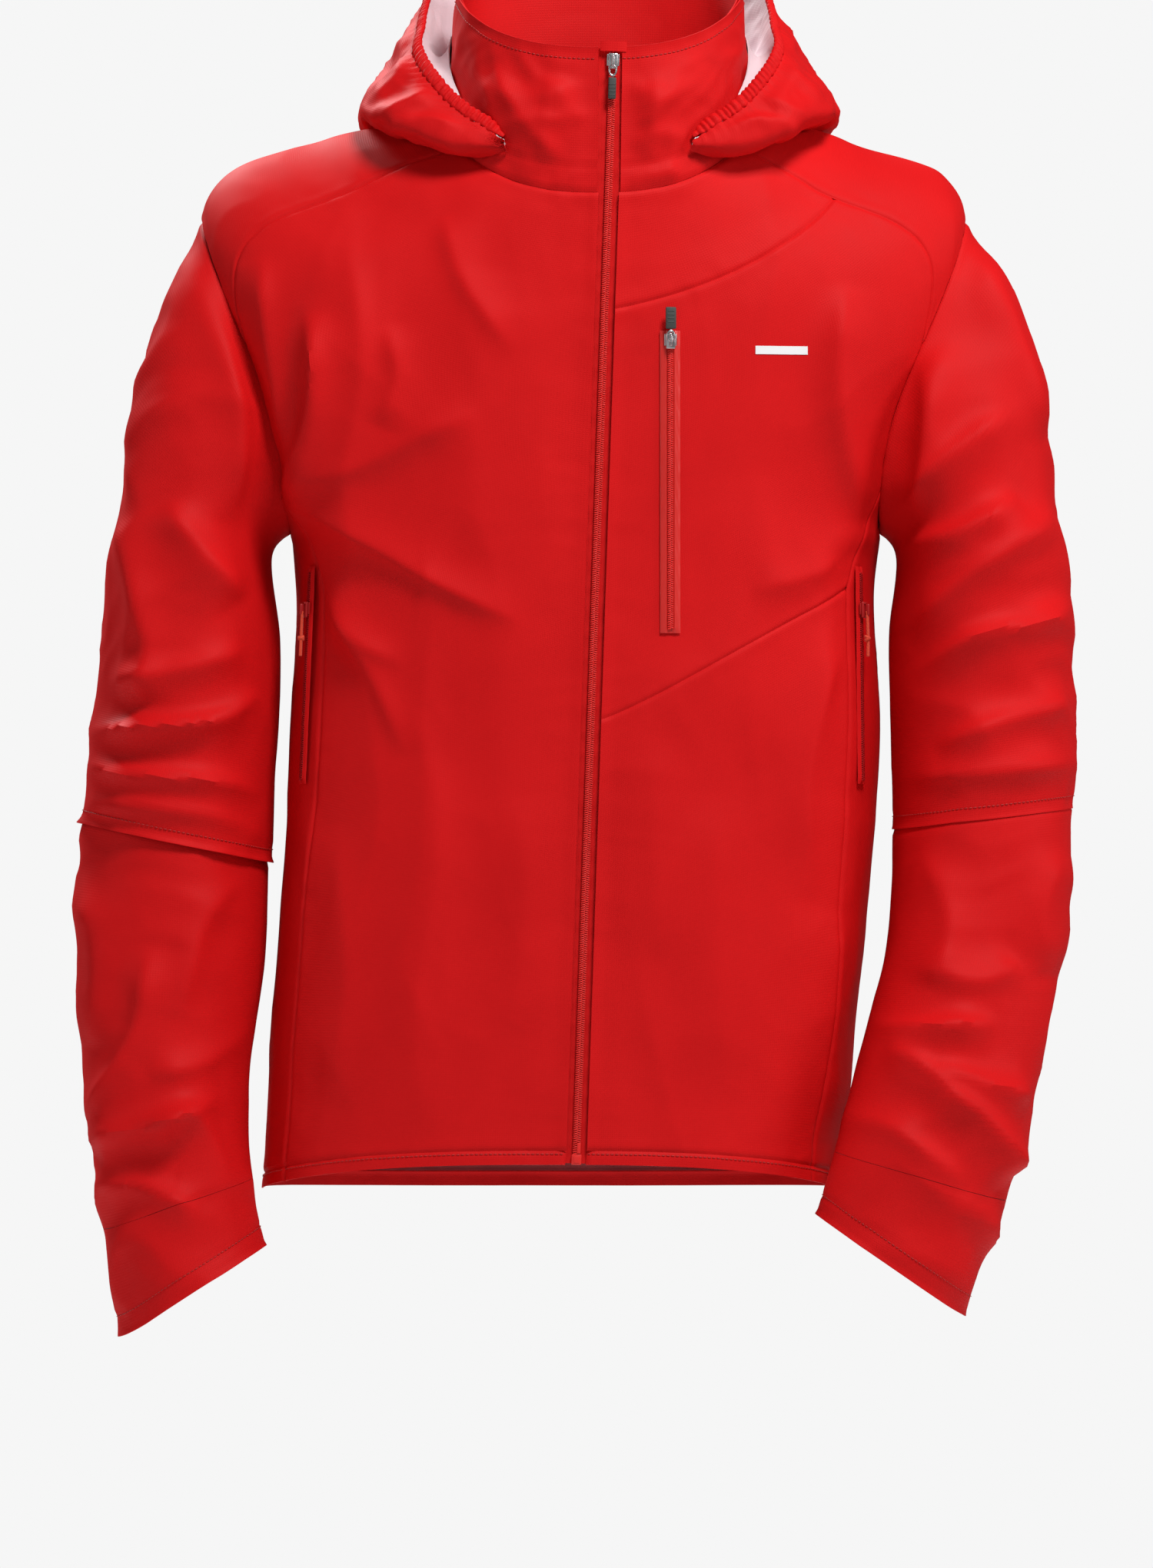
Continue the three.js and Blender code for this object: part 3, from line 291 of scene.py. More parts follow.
def vent_cord(side):
    place = ZIPS[side + "_vent"]
    z = np.linspace(CORD["top"], CORD["bottom"], 64)
    bend = CORD["sway"] * np.sin((CORD["top"] - z) / 12)
    spine = np.stack([bend, -0.4 * bend, z], -1)
    turn = 2 * np.pi * np.arange(CORD["sides"]) / CORD["sides"]
    circle = np.stack([np.cos(turn), np.sin(turn), 0 * turn], -1)
    vertices = []
    for centre in spine:
        strand = 2 * np.pi * centre[2] / CORD["strand"]
        braid = np.maximum(np.sin(3 * turn + strand), np.sin(3 * turn - strand))
        reach = CORD["radius"] * (0.93 + 0.1 * braid)
        vertices += [place @ (Vector(centre + r * way) * MM) for r, way in zip(reach, circle)]
    faces = ring_faces(len(spine), CORD["sides"])
    cord = mesh_piece(side + "_vent_pull_cord", vertices, faces, cord_polyester)
    bights = []
    for tilt, shift in KNOT["bights"]:
        bpy.ops.mesh.primitive_torus_add(
            major_segments=24, minor_segments=12, major_radius=KNOT["turn"] * MM,
            minor_radius=CORD["radius"] * MM, location=(0, 0, (KNOT["height"] + shift) * MM),
            rotation=(tilt, 0.6 * tilt, 0))
        bpy.ops.object.transform_apply(location=True, rotation=True, scale=True)
        bights.append(bpy.context.object)
    for bight in bights:
        bight.select_set(True)
    bpy.ops.object.join()
    knot = bpy.context.object
    knot.name = side + "_vent_pull_knot"
    knot.data.transform(place)
    knot.data.materials.append(cord_polyester)
    bpy.ops.object.shade_smooth()
    knot.select_set(False)
    body = side + "_vent_pull"
    hand_over(cord, body, "cord_fabric", side + "_vent_cord", side + "_vent_cord_tail")
    hand_over(knot, body, "cord_fabric", side + "_vent_cord_knot")


for side in ("right", "left"):
    vent_cord(side)

# %% [markdown]
# ## The shape under the cloth
# The body is a stack of rounded rings from the neck seam to the hem. A place on it is an angle (0 is the
# middle of the front, 90 the wearer's left) and a ring number. Between rings a Catmull-Rom curve keeps the
# surface smooth. The CAD part is built the same way, so cloth made here lies where its solids are.

# %% Rings of the body
ZIP_TOP = np.array([20.4, -160.3, 29]) * MM
ZIP_BOTTOM = np.array([-5.2, -206.3, -735]) * MM
ZIP_GAP = 14 * MM
RINGS = {
    "centre": np.array([10, 2, 0, 1, -1, -24]) * MM,
    "half_width": np.array([106, 181, 266, 204, 205, 199]) * MM,
    "y_back": np.array([5.5, 40, 56, 66, 68, 74]) * MM,
    "z_side": np.array([-16, -28, -84, -300, -470, -757]) * MM,
    "z_front": np.array([-71, -108, -170, -300, -470, -735]) * MM,
    "z_back": np.array([-14, -45, -125, -300, -470, -762]) * MM,
    "power": np.array([2.4, 2.2, 2.4, 2.6, 2.6, 2.6]),
}
COLLAR_TOP = {"centre": 11 * MM, "half_width": 108 * MM, "y_back": 20 * MM, "z_side": 76 * MM,
              "z_front": 29 * MM, "z_back": 92 * MM, "power": 2.4}
RING_SAG = 1.3  # how late a ring leaves its height at the side for that of its front or back
HEM_LEVEL = 5.0
BAND_LEVEL = HEM_LEVEL - 18 / 287  # the hem band is 18 mm deep, and the last ring lies 287 mm lower


def catmull_rom(a, b, c, d, f):
    """The curve's value a share f of the way from b to c, with a before them and d after."""
    return 0.5 * (2 * b + (c - a) * f + (2 * a - 5 * b + 4 * c - d) * f**2 + (3 * b - a - 3 * c + d) * f**3)


def along(values, t):
    """The curve through a list of values, at fractional places t."""
    values = np.asarray(values, float)
    t = np.asarray(t, float)
    i = np.clip(np.floor(t).astype(int), 0, len(values) - 2)
    f = t - i
    if values.ndim > 1:
        f = f[..., None]
    return catmull_rom(*(values[np.clip(i + k, 0, len(values) - 1)] for k in (-1, 0, 1, 2)), f)


def distances(points):
    """How far along a line of points each of them is."""
    return np.concatenate([[0], np.cumsum(np.linalg.norm(np.diff(points, axis=0), axis=1))])


def read_at(at, place, values):
    """A list of values that lie at known places, read at other places."""
    return np.stack([np.interp(at, place, values[:, k]) for k in range(values.shape[1])], -1)


def zip_point(z):
    share = (np.asarray(z) - ZIP_BOTTOM[2]) / (ZIP_TOP[2] - ZIP_BOTTOM[2])
    return ZIP_BOTTOM + share[..., None] * (ZIP_TOP - ZIP_BOTTOM)


def on_ring(ring, angle):
    c, s = np.cos(np.radians(angle)), np.sin(np.radians(angle))
    z_end = np.where(c > 0, ring["z_front"], ring["z_back"])
    z = ring["z_side"] + (z_end - ring["z_side"]) * np.abs(c) ** RING_SAG
    y_front = zip_point(ring["z_front"])[..., 1]
    middle, half = (y_front + ring["y_back"]) / 2, (ring["y_back"] - y_front) / 2
    bend = 2 / ring["power"]
    x = ring["centre"] + ring["half_width"] * np.sign(s) * np.abs(s) ** bend
    return np.stack([x, middle - half * np.sign(c) * np.abs(c) ** bend, z], axis=-1)


def body_point(angle, level):
    angle, level = np.broadcast_arrays(np.asarray(angle, float), np.asarray(level, float))
    return on_ring({key: along(values, level) for key, values in RINGS.items()}, angle)


def solve(value, target, low, high):
    """The argument between low and high at which a falling function meets its target."""
    target = np.asarray(target, float)
    low, high = np.full(target.shape, float(low)), np.full(target.shape, float(high))
    for _ in range(40):
        middle = (low + high) / 2
        above = value(middle) > target
        low, high = np.where(above, middle, low), np.where(above, high, middle)
    return low


def level_at(angle, z):
    return solve(lambda level: body_point(angle, level)[..., 2], z, 0, HEM_LEVEL)


def angle_at(x, level):
    return -solve(lambda a: body_point(-a, level)[..., 0], x, -89, 89)


def front_edge(side, level, out=ZIP_GAP / 2):
    z = body_point(3.0, level)[..., 2]
    return np.stack([angle_at(zip_point(z)[..., 0] + side * out, level), np.asarray(level, float)], -1)


print("body:", body_point(0, 5.0).round(3), "to", body_point(180, 0.0).round(3))

# %% [markdown]
# ## Noise for cloth
# Real cloth never repeats, so the smallest wrinkles come from gradient noise with a fixed seed. Folding
# the noise at zero gives the sharp, straight-sided creases of a coated fabric in place of soft waves.


# %% Creased noise
def gradient_noise(p, seed):
    """Smooth noise from about -1 to 1 at points p, whose cells are one unit wide."""
    rng = np.random.default_rng(seed)
    order = np.concatenate([rng.permutation(256)] * 2)
    arrows = rng.normal(size=(256, 3))
    arrows /= np.linalg.norm(arrows, axis=1)[:, None]
    cell = np.floor(p).astype(int)
    f = p - cell
    fade = f * f * f * (f * (f * 6 - 15) + 10)
    total = np.zeros(p.shape[:-1])
    for dx in (0, 1):
        for dy in (0, 1):
            for dz in (0, 1):
                x, y, z = [(cell[..., k] + d) & 255 for k, d in enumerate((dx, dy, dz))]
                arrow = arrows[order[order[order[x] + y] + z]]
                weight = np.ones(p.shape[:-1])
                for k, d in enumerate((dx, dy, dz)):
                    weight = weight * (fade[..., k] if d else 1 - fade[..., k])
                total += weight * (arrow * (f - np.array([dx, dy, dz]))).sum(-1)
    return total * 1.5


def creases(p, size, seed):
    """Creased relief from about -0.5 to 0.5: flat facets that meet in sharp lines."""
    warp = np.stack([gradient_noise(p / (size * 1.7), seed + k) for k in (1, 2, 3)], -1)
    return 0.35 - np.abs(gradient_noise(p / size + 0.8 * warp, seed))


# %% [markdown]
# ## Folds laid one by one
# The big folds are drawn one by one, as a tailor would pin them: each is a line down the cloth in
# millimetres across and up, how far it stands out, and how wide each flank is. A narrow flank beside a wide
# one makes the cloth look turned over. A fold stands out along the surface's own direction.

# %% Fold tools
FRONT, BACK = 1, -1
TAPER = 0.3  # share of a fold's length over which each end dies away
CREST = 0.07  # how round the top of a fold is, against its width
STEEPNESS, SHARPNESS = 1.15, 1.25  # how fast a fold's flanks fall


def smooth(t):
    t = np.clip(t, 0, 1)
    return t * t * (3 - 2 * t)


def beside_line(flat, line):
    """How far flat points lie to the left of a fold's line, and how far along it, as a share."""
    guide = np.array(line, float) * MM
    guide = along(guide, np.linspace(0, len(guide) - 1, 4 * len(guide)))
    best = np.full(flat.shape[:-1], np.inf)
    signed, share = np.zeros(best.shape), np.zeros(best.shape)
    for i in range(len(guide) - 1):
        a, d = guide[i], guide[i + 1] - guide[i]
        t = np.clip(((flat - a) @ d) / (d @ d), 0, 1)
        gap = flat - a - t[..., None] * d
        far = np.hypot(gap[..., 0], gap[..., 1])
        near = far < best
        side = np.sign(d[0] * gap[..., 1] - d[1] * gap[..., 0])
        best = np.where(near, far, best)
        signed = np.where(near, far * side, signed)
        share = np.where(near, (i + t) / (len(guide) - 1), share)
    return signed, share


def fold_relief(p, normals, folds):
    """How far out the folds push points p, in metres; each table of folds says which side they lie on."""
    out = np.zeros(p.shape[:-1])
    flat = p[..., [0, 2]]
    for facing, laid in folds.items():
        gate = smooth(0.5 - 1.5 * normals[..., 1] * facing)
        for line, height, left, right in laid:
            signed, share = beside_line(flat, line)
            width = np.where(signed > 0, left, right) * MM
            crest = np.hypot(signed / width, CREST) - CREST
            end = smooth(share / TAPER) * smooth((1 - share) / TAPER)
            out += height * MM * np.exp(-STEEPNESS * crest**SHARPNESS) * end * gate
    return out


print("folds fade over", TAPER, "of their length")

# %% [markdown]
# ## From a grid of points to a sewn piece
# A piece of cloth is a grid of points. Its border dips into the seam and rises again where the seam
# allowance is folded under, with small puckers along the thread. Extra rows close to each border carry that
# shape. Solidify then gives the cloth its thickness, with its backing on the inside.

# %% Cloth tools
CLOTH = 0.9 * MM
CELL = 3.6 * MM
CLOTH_EDGE = math.radians(50)  # cloth bent further than this shows a sharp edge
BORDER_ROWS = np.array([0.7, 1.6, 2.8, 4.4, 6.4]) * MM  # extra rows beside each seam


def normals_of(grid, closed=False):
    """Unit normals of a grid of points, across the first index and along the second."""
    if closed:
        du = np.roll(grid, -1, 0) - np.roll(grid, 1, 0)
    else:
        du = np.gradient(grid, axis=0)
    dv = np.gradient(grid, axis=1)
    n = np.cross(du, dv)
    return n / np.maximum(np.linalg.norm(n, axis=-1, keepdims=True), 1e-12)


def lengths(grid, axis):
    step = np.linalg.norm(np.diff(grid, axis=axis), axis=-1)
    pad = [(0, 0), (0, 0)]
    pad[axis] = (1, 0)
    return np.cumsum(np.pad(step, pad), axis=axis)


def spread_shares(length, ends=(True, True)):
    """Shares from 0 to 1, one cell apart, with closer ones near each sewn end."""
    shares = list(np.linspace(0, 1, max(3, int(length / CELL))))
    for sewn, turn in zip(ends, (lambda t: t, lambda t: 1 - t)):
        if sewn:
            shares = [s for s in shares if turn(s) == 0 or turn(s) * length > BORDER_ROWS[-1] * 1.3]
            shares += [turn(r / length) for r in BORDER_ROWS]
    return np.array(sorted(shares))


def seam_relief(distance, p):
    """The dip of a seam, the ridge of its allowance, and the puckers that its thread draws."""
    dip = -0.9 * np.exp(-((distance / (1.3 * MM)) ** 2))
    ridge = 0.28 * np.exp(-(((distance - 4.4 * MM) / (2.6 * MM)) ** 2))
    puckers = 0.5 * gradient_noise(p / (11 * MM), 31) * np.exp(-distance / (14 * MM))
    return (dip + ridge + puckers) * MM


def outward(grid, way, *others, closed=False):
    """The grid and what goes with it, turned over if its faces would point against the way given."""
    if (normals_of(grid, closed) * way).sum() < 0:
        return (grid[::-1],) + tuple(part[::-1] for part in others)
    return (grid,) + others


def cloth_object(name, grid, materials, closed=False, thickness=CLOTH):
    """A mesh of the grid with its lengths as UVs, given thickness towards its inside."""
    m, n = grid.shape[:2]
    spans = m if closed else m - 1
    i, j = np.meshgrid(np.arange(spans), np.arange(n - 1), indexing="ij")
    corners = [(i, j), (i + 1, j), (i + 1, j + 1), (i, j + 1)]
    faces = np.stack([(a % m) * n + b for a, b in corners], -1).reshape(-1, 4)
    piece = mesh_piece(name, grid.reshape(-1, 3), faces.tolist(), *materials)
    around = np.concatenate([grid, grid[:1]]) if closed else grid
    u, v = lengths(around, 0).mean(1), lengths(grid, 1).mean(0)
    uv = np.stack([np.stack([u[a], v[b]], -1) for a, b in corners], 2).reshape(-1, 2)
    piece.data.uv_layers.new(name="cloth").data.foreach_set("uv", uv.astype(np.float32).ravel())
    bpy.context.view_layer.objects.active = piece
    piece.select_set(True)
    wall = piece.modifiers.new("wall", "SOLIDIFY")
    wall.thickness, wall.offset = thickness, -1
    wall.material_offset, wall.material_offset_rim = len(materials) - 1, 0
    bpy.ops.object.modifier_apply(modifier="wall")
    bpy.ops.object.shade_smooth_by_angle(angle=CLOTH_EDGE)
    piece.select_set(False)
    return piece


def declare_sheet(piece, grid, closed=False):
    """Says how large the cloth was cut, from its own lengths and area; a trim under 10 mm is no sheet."""
    around = np.concatenate([grid, grid[:1]]) if closed else grid
    width, length = float(lengths(around, 0)[-1].max()), float(lengths(grid, 1)[:, -1].max())
    if min(width, length) < 10 * MM:
        print(f"{piece.name}: trim, {width * 1000:.0f} x {length * 1000:.0f} mm")
        return
    a, b = np.diff(around, axis=0)[:, :-1], np.diff(around, axis=1)[:-1]
    area = float(np.linalg.norm(np.cross(a, b), axis=-1).sum())
    area = float(np.clip(area, 0.31 * width * length, width * length))
    print(f"{piece.name}: cut {width * 1000:.0f} x {length * 1000:.0f} mm, {area * 1e4:.0f} cm2")


# %% [markdown]
# ## Stitches
# A topstitch is a row of short, plump threads that each dive back into the cloth. Each is a small closed
# bar with six sides to its ring, bent over the cloth between its two needle holes.

# %% Stitches
# Each ring of a stitch lies a share along it and up from the cloth, and has a share of its thickness.
STITCH = {"pitch": 3.2 * MM, "long": 2.5 * MM, "radius": 0.32 * MM, "sides": 6,
          "rings": [(-0.5, -0.5, 0.35), (-0.36, 0.5, 1), (0.36, 0.5, 1), (0.5, -0.5, 0.35)]}


def stitch_row(points, normals, vertices, faces):
    """Adds a row of stitches along a line on the cloth to a list of vertices and faces."""
    place = distances(points)
    at = (np.arange(int(place[-1] / STITCH["pitch"])) + 0.5) * STITCH["pitch"]
    middle, up = read_at(at, place, points), read_at(at, place, normals)
    ahead = read_at(at + 0.5 * MM, place, points) - middle
    ahead /= np.maximum(np.linalg.norm(ahead, axis=1, keepdims=True), 1e-9)
    side = np.cross(up, ahead)
    rings, sides = STITCH["rings"], STITCH["sides"]
    turns = 2 * np.pi * np.arange(sides) / sides
    for c, a, u, s in zip(middle, ahead, up, side):
        start = len(vertices)
        for shift, rise, thick in rings:
            centre = c + a * shift * STITCH["long"] + u * rise * STITCH["radius"]
            for turn in turns:
                reach = STITCH["radius"] * thick
                vertices.append(centre + reach * (np.cos(turn) * s + np.sin(turn) * u))
        for r in range(len(rings) - 1):
            for k in range(sides):
                low, high = start + r * sides, start + (r + 1) * sides
                faces.append((low + k, low + (k + 1) % sides, high + (k + 1) % sides, high + k))
        faces.append(tuple(start + k for k in reversed(range(sides))))
        faces.append(tuple(start + (len(rings) - 1) * sides + k for k in range(sides)))


def stitches_on(name, rows, body):
    """One piece that holds several rows of stitches."""
    vertices, faces = [], []
    for points, normals in rows:
        stitch_row(points, normals, vertices, faces)
    piece = mesh_piece(name, vertices, faces, sewing_thread)
    hand_over(piece, body, "shell_fabric")
    print(f"{name}: {len(faces)} faces")


def row_below(grid, n, up, distance, lift=0.2 * MM, closed=False):
    """The line on the cloth at a distance short of its last row, with the way it faces."""
    rows = [[[np.interp(place[-1] - distance, place, a[:, k]) for k in range(3)] for a in (column, facing)]
            for column, facing, place in zip(grid, n, up)]
    rows = np.array(rows + rows[:1] if closed else rows)
    return rows[:, 0] + rows[:, 1] * lift, rows[:, 1]


# %% [markdown]
# ## Folds of the body
# The zip holds the front flat, so the body carries only long, shallow folds: some run from the shoulders to
# the chest, some fall from the chest pocket, and the waist creases a little under each arm.

# %% Folds of the body
BODY_FOLDS = {
    FRONT: [
        ([(-165, -95), (-150, -180), (-160, -270), (-150, -340)], 5.0, 16, 26),
        ([(-185, -150), (-178, -230), (-200, -310)], 6.0, 12, 20),
        ([(-222, -110), (-212, -180), (-196, -262)], 5.0, 8, 14),
        ([(-192, -140), (-180, -190), (-186, -240), (-206, -290)], 5.0, 16, 8),
        ([(-205, -268), (-160, -262), (-110, -238), (-70, -222)], 3.6, 20, 12),
        ([(-205, -276), (-155, -306), (-95, -342), (-38, -368)], 4.2, 18, 8),
        ([(-196, -318), (-176, -350), (-150, -380), (-118, -396)], 3.2, 12, 8),
        ([(-134, -160), (-128, -200), (-140, -232)], 2.6, 14, 7),
        ([(-96, -84), (-84, -130), (-44, -186)], 2.6, 16, 8),
        ([(-195, -345), (-150, -390), (-120, -460)], 3.5, 14, 9),
        ([(-60, -120), (-75, -220), (-70, -330)], 2.2, 30, 40),
        ([(-110, -420), (-100, -520), (-115, -640), (-105, -720)], 3.0, 22, 34),
        ([(-170, -500), (-160, -600), (-170, -700)], 3.5, 14, 26),
        ([(-45, -480), (-40, -560), (-50, -650)], 1.8, 26, 20),
        ([(180, -130), (172, -210), (190, -300)], 6.0, 20, 12),
        ([(205, -300), (160, -330), (110, -345)], 3.0, 12, 16),
        ([(120, -260), (126, -330), (112, -400), (118, -470)], 2.4, 20, 30),
        ([(195, -360), (165, -410), (150, -480), (158, -560)], 4.0, 12, 20),
        ([(95, -480), (88, -580), (98, -700)], 2.6, 24, 36),
        ([(178, -560), (168, -640), (176, -725)], 3.4, 12, 24),
        ([(50, -440), (46, -520), (52, -600)], 1.8, 20, 26),
    ],
    BACK: [
        ([(-150, -120), (-60, -150), (60, -155), (150, -125)], 5.0, 22, 30),
        ([(-215, -120), (-190, -190), (-150, -250)], 5.0, 12, 20),
        ([(215, -120), (188, -200), (140, -262)], 5.0, 20, 12),
        ([(-200, -300), (-140, -330), (-80, -330)], 4.0, 10, 16),
        ([(200, -310), (150, -345), (90, -352)], 4.0, 16, 10),
        ([(-20, -180), (-34, -260), (-24, -360)], 3.4, 24, 14),
        ([(-175, -200), (-120, -290), (-60, -340)], 5.0, 18, 30),
        ([(175, -210), (110, -300), (50, -345)], 5.0, 30, 18),
        ([(-150, -360), (-40, -395), (70, -380), (150, -400)], 5.5, 14, 26),
        ([(-160, -470), (-50, -500), (60, -480), (165, -510)], 4.5, 26, 14),
        ([(-110, -520), (-95, -620), (-105, -720)], 4.0, 22, 34),
        ([(30, -520), (20, -620), (35, -730)], 3.4, 30, 22),
        ([(140, -540), (130, -640), (150, -730)], 3.8, 20, 30),
    ],
}
BODY_FOLD_GAIN = 1.7
BODY_CREASE = {"size": 110 * MM, "height": 4.4 * MM, "seed": 7}
FINE_CREASE = {"size": 46 * MM, "height": 1.0 * MM, "seed": 17}
ZIP_PUCKER = {"reach": 34 * MM, "height": 1.5 * MM, "size": 30 * MM, "seed": 23}
ZIP_LINES = [((59, -373), (59.5, -166)), ((-193.9, -476), (-187.7, -326)), ((191.2, -476), (189.8, -326))]
HELD_NEAR, HELD_FADE = 7 * MM, 24 * MM  # how far from a zip the cloth is held flat, and over what it lets go


def beside_zips(p):
    """0 beside a chest or vent zip, which holds the cloth flat, and 1 away from it."""
    free = np.ones(p.shape[:-1])
    for a, b in ZIP_LINES:
        a, b = np.array(a) * MM, np.array(b) * MM
        t = np.clip(((p[..., [0, 2]] - a) @ (b - a)) / ((b - a) @ (b - a)), 0, 1)
        gap = np.linalg.norm(p[..., [0, 2]] - a - t[..., None] * (b - a), axis=-1)
        in_front = smooth((-0.06 - p[..., 1]) / 0.03)
        free *= 1 - in_front * (1 - smooth((gap - HELD_NEAR) / HELD_FADE))
    return free


def body_cloth(angle, level):
    """The body's cloth at an angle and ring number, with its folds, and the way it faces."""
    p = body_point(angle, level)
    across = body_point(angle + 0.5, level) - body_point(angle - 0.5, level)
    level_up, level_down = np.clip(level - 0.01, 0, HEM_LEVEL), np.clip(level + 0.01, 0, HEM_LEVEL)
    up = body_point(angle, level_up) - body_point(angle, level_down)
    n = np.cross(across, up)
    n /= np.maximum(np.linalg.norm(n, axis=-1, keepdims=True), 1e-12)
    away = np.abs(p[..., 0] - zip_point(p[..., 2])[..., 0]) + 0.4 * np.maximum(p[..., 1] + 0.1, 0)
    held = smooth(away / (60 * MM)) * smooth((level - 0.02) / 0.5)  # free of the zip and of the neck seam
    stretched = p * np.array([1, 1, 0.6])
    out = BODY_FOLD_GAIN * fold_relief(p, n, BODY_FOLDS) * smooth(away / (30 * MM))
    for crease, share in ((BODY_CREASE, held), (FINE_CREASE, 0.3 + 0.7 * held)):
        out += crease["height"] * creases(stretched, crease["size"], crease["seed"]) * share
    pull = np.exp(-away / ZIP_PUCKER["reach"]) * smooth((away - ZIP_GAP / 2) / (5 * MM))
    banded = p * np.array([0.35, 0.35, 1])
    out += ZIP_PUCKER["height"] * creases(banded, ZIP_PUCKER["size"], ZIP_PUCKER["seed"]) * pull
    out *= (smooth((HEM_LEVEL - level) / 0.06) * 0.75 + 0.25) * beside_zips(p)
    return p + n * out[..., None], n


# %% [markdown]
# ## Panels of the body
# Each panel is a patch stretched between four seams. A seam is a list of places on the body, and its
# neighbour uses the same list, so the two meet all the way along.

# %% Seams of the body
ARMHOLE = {"top": 2, "bottom": 3, "half_angle": 26, "steps": 24}


def armhole(side, steps):
    turn = 2 * np.pi * np.asarray(steps, float) / ARMHOLE["steps"]
    middle, half = (ARMHOLE["top"] + ARMHOLE["bottom"]) / 2, (ARMHOLE["bottom"] - ARMHOLE["top"]) / 2
    return np.stack([side * (90 - ARMHOLE["half_angle"] * np.sin(turn)), middle - half * np.cos(turn)], -1)


def evenly(cells, count=160):
    """The same seam with its points evenly spaced along the body."""
    cells = np.asarray(cells, float)
    place = distances(body_point(cells[:, 0], cells[:, 1]))
    return read_at(np.linspace(0, place[-1], count), place, cells)


def line(a, b, count=60):
    t = np.linspace(0, 1, count)[:, None]
    return np.array(a) * (1 - t) + np.array(b) * t


def yoke_seam(side, neck_angle, armhole_step, bow):
    seam = line((neck_angle, 0), armhole(1, armhole_step))
    seam[:, 0] += bow * np.sin(np.linspace(0, np.pi, len(seam)))
    return seam * np.array([side, 1])


def side_seam(side, angles, armhole_step):
    chest, waist, hem = angles
    knots = [armhole(1, armhole_step), (chest, 3.25), ((chest + waist) / 2, 3.6), (waist, 4),
             ((waist + hem) / 2, 4.45), (hem, BAND_LEVEL)]
    knots = np.array(knots)
    first = line(knots[0], knots[1], 20)
    rest = along(knots[1:], np.linspace(0, 4, 80))
    return np.concatenate([first, rest[1:]]) * np.array([side, 1])


def front_run(side, a, b):
    return front_edge(side, np.linspace(a, b, 60))


def chain(*parts):
    return np.concatenate([part if k == 0 else part[1:] for k, part in enumerate(parts)])


def patch(bottom, top, left, right):
    """A function from shares across and up to a place on the body, between four seams."""
    edges = [evenly(e) for e in (bottom, top, left, right)]

    def cells(u, v):
        low, high, near, far = (read_at(t, np.linspace(0, 1, len(e)), e) for e, t in zip(edges, (u, u, v, v)))
        uu, vv = u[:, None, None], v[None, :, None]
        ruled = low[:, None] * (1 - vv) + high[:, None] * vv + near[None] * (1 - uu) + far[None] * uu
        corner = ((low[0] * (1 - uu) + low[-1] * uu) * (1 - vv)
                  + (high[0] * (1 - uu) + high[-1] * uu) * vv)
        return ruled - corner

    return cells


print("armhole top", body_point(*armhole(1, 0)).round(3), "bottom", body_point(*armhole(1, 12)).round(3))

# %% [markdown]
# A body panel is cut from its patch, trimmed to its seams, and puckered at each sewn edge. The edge beside
# the main zip isn't sewn flat: it is turned under, so it stands a little prouder.

# %% Panel tool
BODY_GRIDS = {}
BOTTOM, TOP, LEFT, RIGHT = range(4)
PROUD_WIDTH = 5 * MM


def body_panel(name, bottom, top, left, right, sewn=(True, True, True, True), proud=None, inside=None):
    """A panel between four seams; sewn says which of bottom, top, left and right are seams."""
    cells = patch(bottom, top, left, right)
    rough = body_point(*np.moveaxis(cells(np.linspace(0, 1, 20), np.linspace(0, 1, 20)), -1, 0))
    width, height = lengths(rough, 0)[-1].max(), lengths(rough, 1)[:, -1].max()
    u = spread_shares(width, (sewn[LEFT], sewn[RIGHT]))
    v = spread_shares(height, (sewn[BOTTOM], sewn[TOP]))
    angle, level = np.moveaxis(cells(u, v), -1, 0)
    grid, facing = body_cloth(angle, level)
    across, up = lengths(grid, 0), lengths(grid, 1)
    borders = [up, up[:, -1:] - up, across, across[-1:] - across]
    relief = np.zeros(angle.shape)
    for border, is_sewn in zip(borders, sewn):
        if is_sewn:
            relief += seam_relief(border, grid)
    if proud:
        border, height_out = proud
        relief += height_out * np.exp(-((borders[border] / PROUD_WIDTH) ** 2))
    grid = grid + facing * relief[..., None]
    grid, facing = outward(grid, facing, facing)
    piece = cloth_object(name, grid, [shell_nylon, inside or backing_tricot])
    hand_over(piece, "torso", "shell_fabric", name)
    declare_sheet(piece, grid)
    BODY_GRIDS[name] = (grid, facing, lengths(grid, 1))


print("cloth", round(CLOTH / MM, 1), "mm thick, cells", round(CELL / MM, 1), "mm")

# %% [markdown]
# The two sides share their pattern: a side panel under the arm, and a yoke over the shoulder whose seams run
# from the neck to the armhole. The right front is one piece. The left front is cut by two slanting seams
# into an upper panel at the neck, a chest panel with the pocket, and a lower panel.

# %% Cut the sides and the fronts
NECK_ANGLE, YOKE_STEP, BACK_NECK_ANGLE, SIDE_STEP = 62, 5, 125, 9
FRONT_SIDE, BACK_SIDE = (61, 59, 62), (118, 120, 118)
CHEST_POINT = 19  # where the side seam leaves its first, straight run
UPPER_START, LOWER_START = -151 * MM, -432 * MM  # heights at which the slanting seams meet the zip
UPPER_BOW, LOWER_BOW = 0.06, 0.05
TURNED_EDGE = 1.3 * MM
BESIDE_ZIP = ((True, True, False, True), (LEFT, TURNED_EDGE))  # turned under beside the zip, not sewn flat


